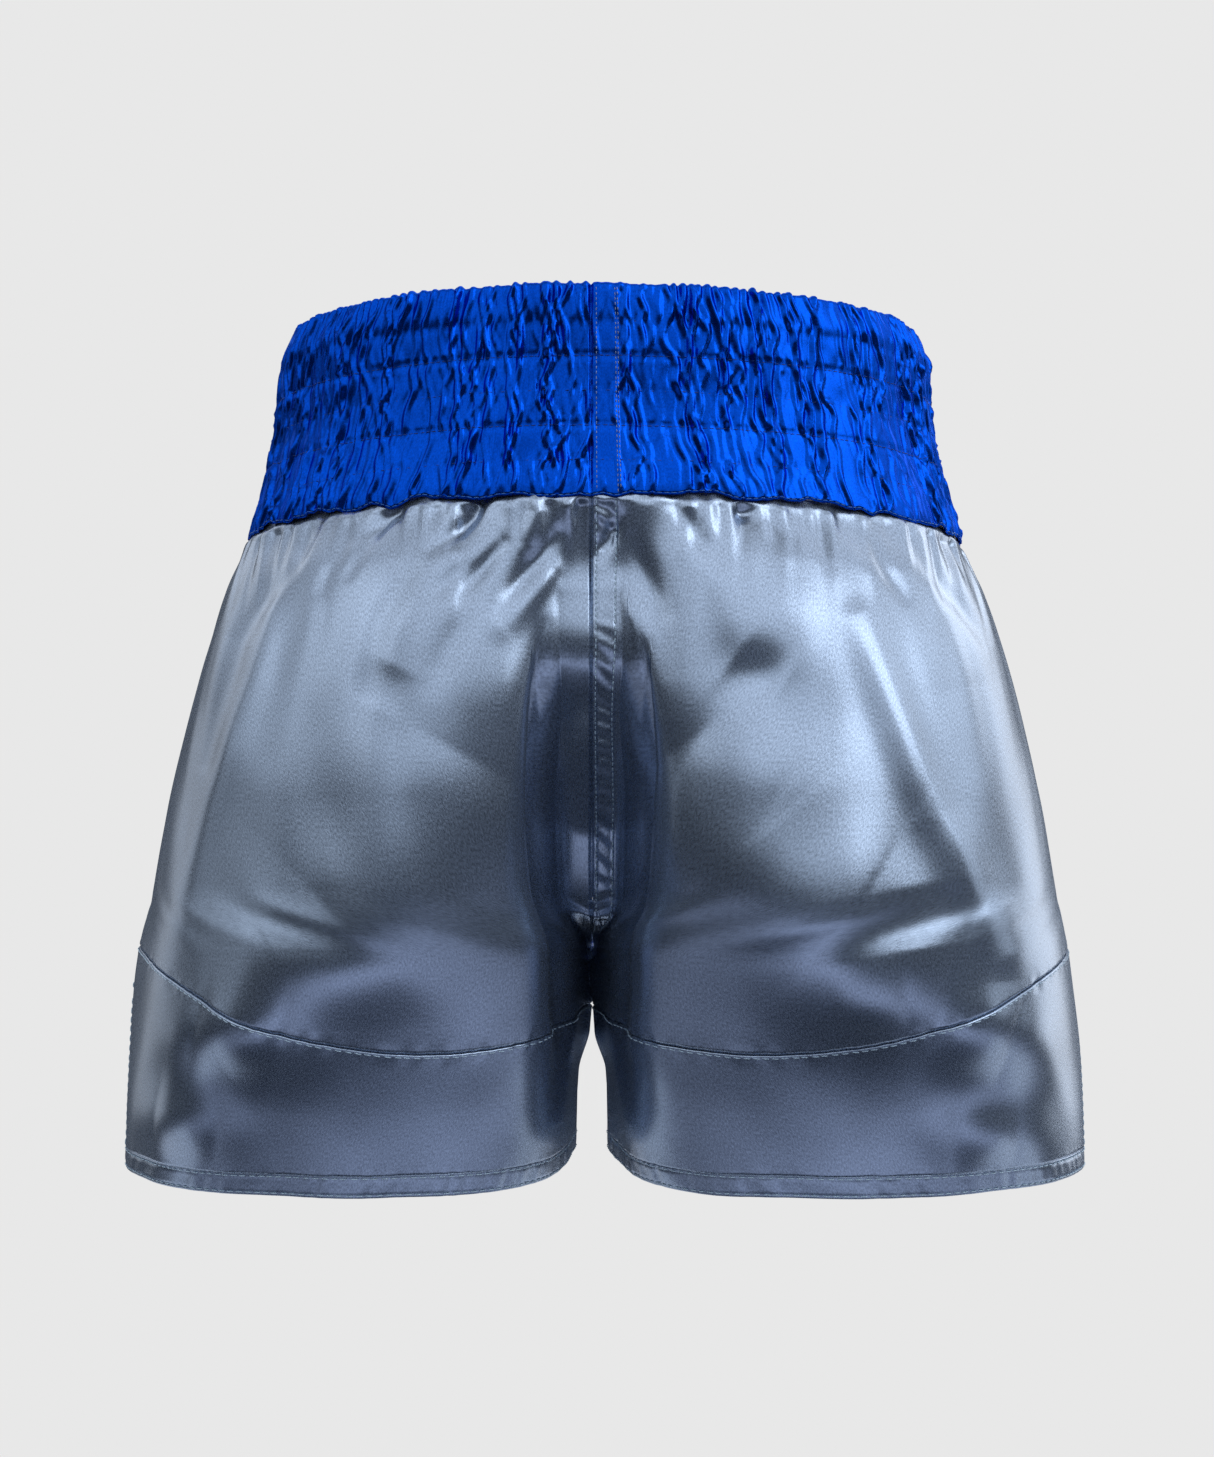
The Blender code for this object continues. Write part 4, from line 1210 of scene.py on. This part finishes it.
def add_thread(name, runs, material, radius, slot="thread", replaced=()):
    """One object made of many short stitches."""
    start, end, normal = (np.concatenate(part) for part in zip(*runs))
    along_it = end - start
    sideways = np.cross(along_it, normal)
    sideways /= np.linalg.norm(sideways, axis=1)[:, None]
    turns = np.arange(THREAD_SIDES) * 2 * math.pi / THREAD_SIDES
    rings = []
    for t, rise, wide in THREAD_RINGS:
        centre = start + along_it * t + normal * (rise * MM)
        for turn in turns:
            rings.append(centre + (math.cos(turn) * sideways + math.sin(turn) * normal) * (radius * wide))
    points = np.stack(rings, 1)
    count, per = points.shape[:2]
    base = []
    for ring in range(len(THREAD_RINGS) - 1):
        for j in range(THREAD_SIDES):
            n = (j + 1) % THREAD_SIDES
            base.append([ring * THREAD_SIDES + j, ring * THREAD_SIDES + n,
                         (ring + 1) * THREAD_SIDES + n, (ring + 1) * THREAD_SIDES + j])
    quads = (np.array(base)[None] + (np.arange(count) * per)[:, None, None]).reshape(-1, 4)
    caps = []
    for ring, order in ((0, -1), (len(THREAD_RINGS) - 1, 1)):
        cap = ring * THREAD_SIDES + np.arange(THREAD_SIDES)[::order]
        caps.append(cap[None] + (np.arange(count) * per)[:, None])
    faces = quads.tolist() + np.concatenate(caps).tolist()
    mesh = bpy.data.meshes.new(name)
    mesh.from_pydata(points.reshape(-1, 3).tolist(), [], faces)
    mesh.materials.append(material)
    mesh.shade_smooth()
    obj = bpy.data.objects.new(name, mesh)
    bpy.context.scene.collection.objects.link(obj)
    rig.ride(obj, "root")
    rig.slot(obj, slot)
    if replaced:
        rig.replaces(obj, *replaced)


def band_run(angles, shares, stitch, seed):
    points, normals = band_outer(angles, shares, 0.1)
    return stitches_on(points, normals, *stitch, 0.0, seed)


def body_run(u, levels, side, front, stitch, seed, height, slant=0.0):
    points, normals = body_outer(u, levels, side, front, height)
    return stitches_on(points, normals, *stitch, slant, seed)


def u_at(distance, levels, front):
    """u at a distance from the centre line, in metres."""
    whole = across(np.ones(len(levels)), levels)
    grid = np.linspace(0, 0.2, 81)
    if front:
        grid = 1 - grid
    found = []
    for level, full in zip(levels, whole):
        reach = across(grid, np.full(len(grid), level))
        found.append(np.interp(distance, full - reach if front else reach, grid))
    return np.array(found)


def waistband_stitches():
    ring = np.linspace(-math.pi, math.pi, 1800)
    rows = []
    for k, line in enumerate(channel_lines()):
        rows.append(band_run(ring, np.full(len(ring), line), CHANNEL_STITCH, 60 + k))
    add_thread("waistband_channel_stitches", rows, MATERIALS["thread_blue"], 0.13 * MM)
    edge = [band_run(ring, np.full(len(ring), EDGE_STITCH_SHARE), EDGE_STITCH, 70)]
    add_thread("waistband_edge_stitches", edge, MATERIALS["thread_edge"], 0.16 * MM)
    shares = np.linspace(0.005, 0.985, 400)
    fell = []
    for k, line in enumerate(BAND_SEAM_ROWS):
        for front in (False, True):
            s = (HALF_GIRTH - line) if front else line
            angles = np.full(len(shares), np.interp(s, BAND_ARCS, BAND_ANGLES))
            fell.append(band_run(angles, shares, BAND_SEAM_STITCH, 75 + k))
    add_thread("waistband_seam_stitches", fell, MATERIALS["thread_pale"], 0.16 * MM)


def leg_stitches(side, front):
    """The rows along the yoke seam, the hem and the slit of a quarter of the body."""
    flip = (lambda u: 1 - u) if front else (lambda u: u)
    seed = 90 + 2 * front + (side > 0)
    u = np.linspace(0.002, 0.499, 700)
    yoke = yoke_at(u, front) - YOKE_STITCH_DROP
    runs = [body_run(flip(u), yoke, side, front, YOKE_STITCH, seed, 0.15, 0.04)]
    u_hem = np.linspace(0.001, 0.5 - SLIT_HALF_OPENING - 0.004, 700)
    for distance in HEM_STITCH_ROWS:
        hem = np.full(len(u_hem), HEM + distance * MM)
        runs.append(body_run(flip(u_hem), hem, side, front, HEM_STITCH, seed + 10, 0.2))
    z = np.linspace(HEM + 8 * MM, SLIT_TOP - 1 * MM, 200)
    for distance in SLIT_STITCH_ROWS:
        u_slit = 0.5 - slit_edge(z) - (distance * MM) * U_PER_METRE
        runs.append(body_run(flip(u_slit), z, side, front, HEM_STITCH, seed + 20, 0.3))
    return runs


def make_stitches():
    waistband_stitches()
    body = []
    levels = np.linspace(*BODY_SEAM_LEVELS, 300)
    for k, line in enumerate(FELL_ROWS):
        for front in (False, True):
            u = u_at(line * MM, levels, front)
            body.append(body_run(u, levels, 1, front, BODY_SEAM_STITCH, 80 + k, 0.05))
    for front in (False, True):
        for side in SIDES.values():
            body += leg_stitches(side, front)
    add_thread("body_stitches", body, MATERIALS["thread_steel"], 0.22 * MM)


BARTACK_WIDTH = 9 * MM
BARTACK_THREADS = 26
BARTACK_LEVELS = (SLIT_TOP - 0.2 * MM, SLIT_TOP + 2.2 * MM)
BARTACK_LEAN = 0.0003  # in u


def make_bartacks():
    """A bar of close stitches across the top of each slit."""
    low_level, high_level = (np.full(BARTACK_THREADS, level) for level in BARTACK_LEVELS)
    for name, side in SIDES.items():
        u = 0.5 + np.linspace(-0.5, 0.5, BARTACK_THREADS) * BARTACK_WIDTH * U_PER_METRE
        low, normals = body_outer(u, low_level, side, False, 0.55)
        high, _ = body_outer(u + BARTACK_LEAN, high_level, side, False, 0.55)
        add_thread(f"bartack_{name}", [(low, high, normals)], MATERIALS["thread_steel"], 0.24 * MM,
                   replaced=(f"slit_bartack_{name}",))


# ---------------------------------------------------------------- inside of the waistband

ELASTIC_DEPTH = 2.9 * MM
BUTTONHOLE_X = 15.0 * MM
BUTTONHOLE_LEVEL = -44.5 * MM
BUTTONHOLE_SLIT = 10.0 * MM
BUTTONHOLE_LIP = (0.25 * MM, 2.3 * MM)  # from the slit to each end of a stitch on its lips
BUTTONHOLE_PITCH = 0.45 * MM
BUTTONHOLE_BAR = 2.0 * MM  # length of the stitches across each end


def inner_point(angles, levels, depth):
    base = band_surface(np.abs(angles), levels)
    normal = normals_of(band_surface, np.abs(angles), levels)
    turn = np.stack([np.sign(angles + 1e-12), np.ones(len(angles)), np.ones(len(angles))], 1)
    return lean((base - normal * np.reshape(depth, (-1, 1))) * turn), normal * turn


def make_elastics():
    """Flat ribbed elastic rings inside the channels."""
    for k in range(CHANNELS):
        middle = BAND_TOP + (BAND_BOTTOM - BAND_TOP) * (k + 0.5) / CHANNELS
        levels = middle + np.linspace(5, -5, 8) * MM
        angles = np.linspace(-math.pi, math.pi, 361)
        a, z = np.meshgrid(angles, levels)
        a, z = a.ravel(), z.ravel()
        ripple = 0.12 * np.sin(a * 140 * 2.2) * MM
        points, _ = inner_point(a, z, ELASTIC_DEPTH - 0.4 * MM + ripple)
        uvs = np.stack([a * 0.15, z], 1)
        obj = sheet_mesh(f"elastic_ring_{k + 1}", points, uvs, len(levels), len(angles),
                         MATERIALS["elastic"], 0.8 * MM)
        apply_modifiers(obj)
        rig.ride(obj, "root")
        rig.replaces(obj, f"elastic_band_{k + 1}")
        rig.slot(obj, "elastic")


def make_buttonholes():
    """Closed, hand worked slits in the front of the casing's inner wall: a row of stitches on each lip."""

    def on_wall(x, z, side):
        angles = (math.pi - np.arcsin(x / (BAND_PROFILE[2][1] * MM))) * side
        share = np.clip((BAND_TOP - z) / (BAND_TOP - BAND_BOTTOM), 0, 1)
        depth = CASING_INNER + 0.4 * MM + 0.5 * band_relief(angles, share) * MM
        return inner_point(angles, z, depth)

    for name, side in SIDES.items():
        runs = []
        z = BUTTONHOLE_LEVEL + np.arange(-0.5 * BUTTONHOLE_SLIT, 0.5 * BUTTONHOLE_SLIT, BUTTONHOLE_PITCH)
        for lip in (-1, 1):
            near, normal = on_wall(BUTTONHOLE_X + lip * BUTTONHOLE_LIP[0] + 0 * z, z, side)
            far, _ = on_wall(BUTTONHOLE_X + lip * BUTTONHOLE_LIP[1] + 0 * z, z + 0.05 * MM, side)
            runs.append((near, far, -normal))
        x = BUTTONHOLE_X + np.arange(-2.2, 2.3, 0.44) * MM
        for end in (-1, 1):
            z_near = BUTTONHOLE_LEVEL + end * (0.5 * BUTTONHOLE_SLIT + 0.2 * MM) + 0 * x
            near, normal = on_wall(x, z_near, side)
            far, _ = on_wall(x, z_near + end * BUTTONHOLE_BAR, side)
            runs.append((near, far, -normal))
        add_thread(f"buttonhole_{name}", runs, MATERIALS["thread_blue"], 0.24 * MM,
                   replaced=(f"drawcord_buttonhole_{name}",))


LABEL_COLUMNS = 40
LABEL_ROWS = 26
SIZE_LABEL = (0.036, 0.024)  # flat width and height
SIZE_LABEL_RADIUS = 140 * MM
CARE_LABEL = (0.024, 0.048)
CARE_LABEL_SPREAD = 1.35  # the side of the body is flatter than U_PER_METRE says


def finish_label(name, points, uvs, node, flat):
    obj = sheet_mesh(name, points, uvs, LABEL_ROWS, LABEL_COLUMNS, MATERIALS["label"], 0.3 * MM)
    apply_modifiers(obj)
    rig.ride(obj, "root")
    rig.replaces(obj, node)
    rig.slot(obj, "label")
    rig.sheet(obj, flat=flat, held="hung")


def make_labels():
    """A blank size label in the back of the waistband, and a blank care label that hangs at the left side."""
    t, down = np.meshgrid(np.linspace(-0.5, 0.5, LABEL_COLUMNS), np.linspace(0, 1, LABEL_ROWS))
    t, down = t.ravel(), down.ravel()
    angles = t * SIZE_LABEL[0] / SIZE_LABEL_RADIUS
    levels = BAND_BOTTOM / 2 + SIZE_LABEL[1] * (0.5 - down)
    bulge = 0.5 * np.sin(math.pi * (t + 0.5)) * np.sin(math.pi * down) * MM
    points, _ = inner_point(angles, levels, 6.6 * MM + bulge)
    finish_label("size_label_cloth", points, np.stack([t, down], 1) * SIZE_LABEL, "size_label", SIZE_LABEL)
    u = 0.5 + t * CARE_LABEL_SPREAD * CARE_LABEL[0] * U_PER_METRE
    z = BAND_BOTTOM - 1.6 * MM - CARE_LABEL[1] * down
    curl = 0.6 * np.sin(math.pi * down * 1.6 + t) * down
    points, _ = body_outer(u, z, -1, False, -3.4 - curl, False)
    finish_label("care_label_cloth", points, np.stack([t, down], 1) * CARE_LABEL, "care_label", CARE_LABEL)


# ---------------------------------------------------------------- stage, lights, camera


FLOOR_LEVEL = -0.95
FLOOR_CORNERS = ((-1.6, -0.05), (1.6, -0.05), (1.6, 2.4), (-1.6, 2.4))


def make_stage():
    """A pale floor below the shorts. It starts under them, so that their back doesn't mirror it."""
    mesh = bpy.data.meshes.new("floor")
    mesh.from_pydata([(x, y, FLOOR_LEVEL) for x, y in FLOOR_CORNERS], [], [(0, 1, 2, 3)])
    floor = bpy.data.objects.new("floor", mesh)
    bpy.context.scene.collection.objects.link(floor)
    made, _, _, shader = new_material("pale_floor")
    shader.inputs["Base Color"].default_value = (0.62, 0.63, 0.66, 1)
    shader.inputs["Roughness"].default_value = 0.9
    mesh.materials.append(made)
    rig.stage(floor)


# Name, place, width and height in metres, and power in watts
LIGHTS = (
    ("key_left", (-1.7, -1.0, 1.1), (1.6, 1.3), 5),
    ("key_right", (1.7, -1.0, 1.1), (1.6, 1.3), 14),
    ("rim_left", (-1.5, 1.3, 0.1), (0.9, 1.4), 2.5),
    ("rim_right", (1.5, 1.3, 0.1), (0.9, 1.4), 7),
    ("side_left", (-2.0, 0.0, 0.35), (1.2, 1.4), 2),
    ("side_right", (2.0, 0.1, 0.35), (1.2, 1.6), 5),
)
LIT_POINT = Vector((0, 0, -0.17))


def make_lights():
    for name, place, (width, height), power in LIGHTS:
        data = bpy.data.lights.new(name, "AREA")
        data.shape = "RECTANGLE"
        data.size = width
        data.size_y = height
        data.energy = power
        light = bpy.data.objects.new(name, data)
        light.location = place
        light.rotation_euler = (LIT_POINT - Vector(place)).to_track_quat("-Z", "Y").to_euler()
        bpy.context.scene.collection.objects.link(light)


# What the cloth reflects: place from straight down (0) to straight up (1), and colour
STUDIO = (
    (0.0, (0.02, 0.025, 0.035)),
    (0.12, (0.05, 0.06, 0.09)),
    (0.21, (0.73, 0.75, 0.92)),
    (0.29, (0.73, 0.75, 0.92)),
    (0.375, (0.04, 0.05, 0.07)),
    (0.60, (0.03, 0.035, 0.045)),
    (0.67, (1.08, 1.11, 1.15)),
    (0.80, (1.46, 1.48, 1.53)),
    (0.94, (1.38, 1.39, 1.43)),
    (1.0, (0.6, 0.6, 0.6)),
)


STUDIO_CENTRE = 0.16  # the studio is brightest a little to the right
# Sideways part of a direction, from and to, and the studio's strength at both
SIDE_DIMMING = (0.35, 0.95, 1.0, 0.42)
BACKDROP = 0.807


def make_world():
    """A pale backdrop for the camera. The cloth sees soft light above, a dark horizon and a dim floor."""
    world = bpy.data.worlds.new("studio")
    bpy.context.scene.world = world
    world.use_nodes = True
    nodes, links = world.node_tree.nodes, world.node_tree.links
    seen = nodes["Background"]
    seen.inputs["Color"].default_value = (BACKDROP, BACKDROP, BACKDROP, 1)
    place = nodes.new("ShaderNodeTexCoord")
    parts = nodes.new("ShaderNodeSeparateXYZ")
    height = nodes.new("ShaderNodeMapRange")
    height.inputs["From Min"].default_value = -1
    tones = nodes.new("ShaderNodeValToRGB")
    elements = tones.color_ramp.elements
    while len(elements) < len(STUDIO):
        elements.new(0.5)
    for element, (at, colour) in zip(elements, STUDIO):
        element.position = at
        element.color = (*colour, 1)
    glow = nodes.new("ShaderNodeBackground")
    off_centre = nodes.new("ShaderNodeMath")
    off_centre.operation = "SUBTRACT"
    off_centre.inputs[1].default_value = STUDIO_CENTRE
    sideways = nodes.new("ShaderNodeMath")
    sideways.operation = "ABSOLUTE"
    dimming = nodes.new("ShaderNodeMapRange")
    for name, value in zip(("From Min", "From Max", "To Min", "To Max"), SIDE_DIMMING):
        dimming.inputs[name].default_value = value
    links.new(parts.outputs["X"], off_centre.inputs[0])
    links.new(off_centre.outputs["Value"], sideways.inputs[0])
    links.new(sideways.outputs["Value"], dimming.inputs["Value"])
    links.new(dimming.outputs["Result"], glow.inputs["Strength"])
    links.new(place.outputs["Generated"], parts.inputs["Vector"])
    links.new(parts.outputs["Z"], height.inputs["Value"])
    links.new(height.outputs["Result"], tones.inputs["Fac"])
    links.new(tones.outputs["Color"], glow.inputs["Color"])
    path = nodes.new("ShaderNodeLightPath")
    mix = nodes.new("ShaderNodeMixShader")
    links.new(path.outputs["Is Camera Ray"], mix.inputs["Fac"])
    links.new(glow.outputs["Background"], mix.inputs[1])
    links.new(seen.outputs["Background"], mix.inputs[2])
    links.new(mix.outputs["Shader"], nodes["World Output"].inputs["Surface"])


def make_camera():
    data = bpy.data.cameras.new("camera")
    camera = bpy.data.objects.new("camera", data)
    camera.location = (CAMERA_AIM[0], -CAMERA_DISTANCE, CAMERA_AIM[1])
    camera.rotation_euler = (math.pi / 2, 0, 0)
    data.sensor_width = 36
    data.lens = data.sensor_width * CAMERA_DISTANCE / VIEW_HEIGHT
    bpy.context.scene.collection.objects.link(camera)
    bpy.context.scene.camera = camera


bpy.context.scene.view_settings.view_transform = "Standard"
make_camera()
make_world()
make_lights()
make_stage()
make_casings()
make_panels()
make_hems()
make_hem_bindings()
make_slit_bindings()
make_gusset()
make_elastics()
make_labels()
make_buttonholes()
make_stitches()
make_bartacks()

with open("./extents.json", "w") as file:
    json.dump({"cad": [list(c) for c in cad_bounds], "visual": [list(c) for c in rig.bounds()]}, file)
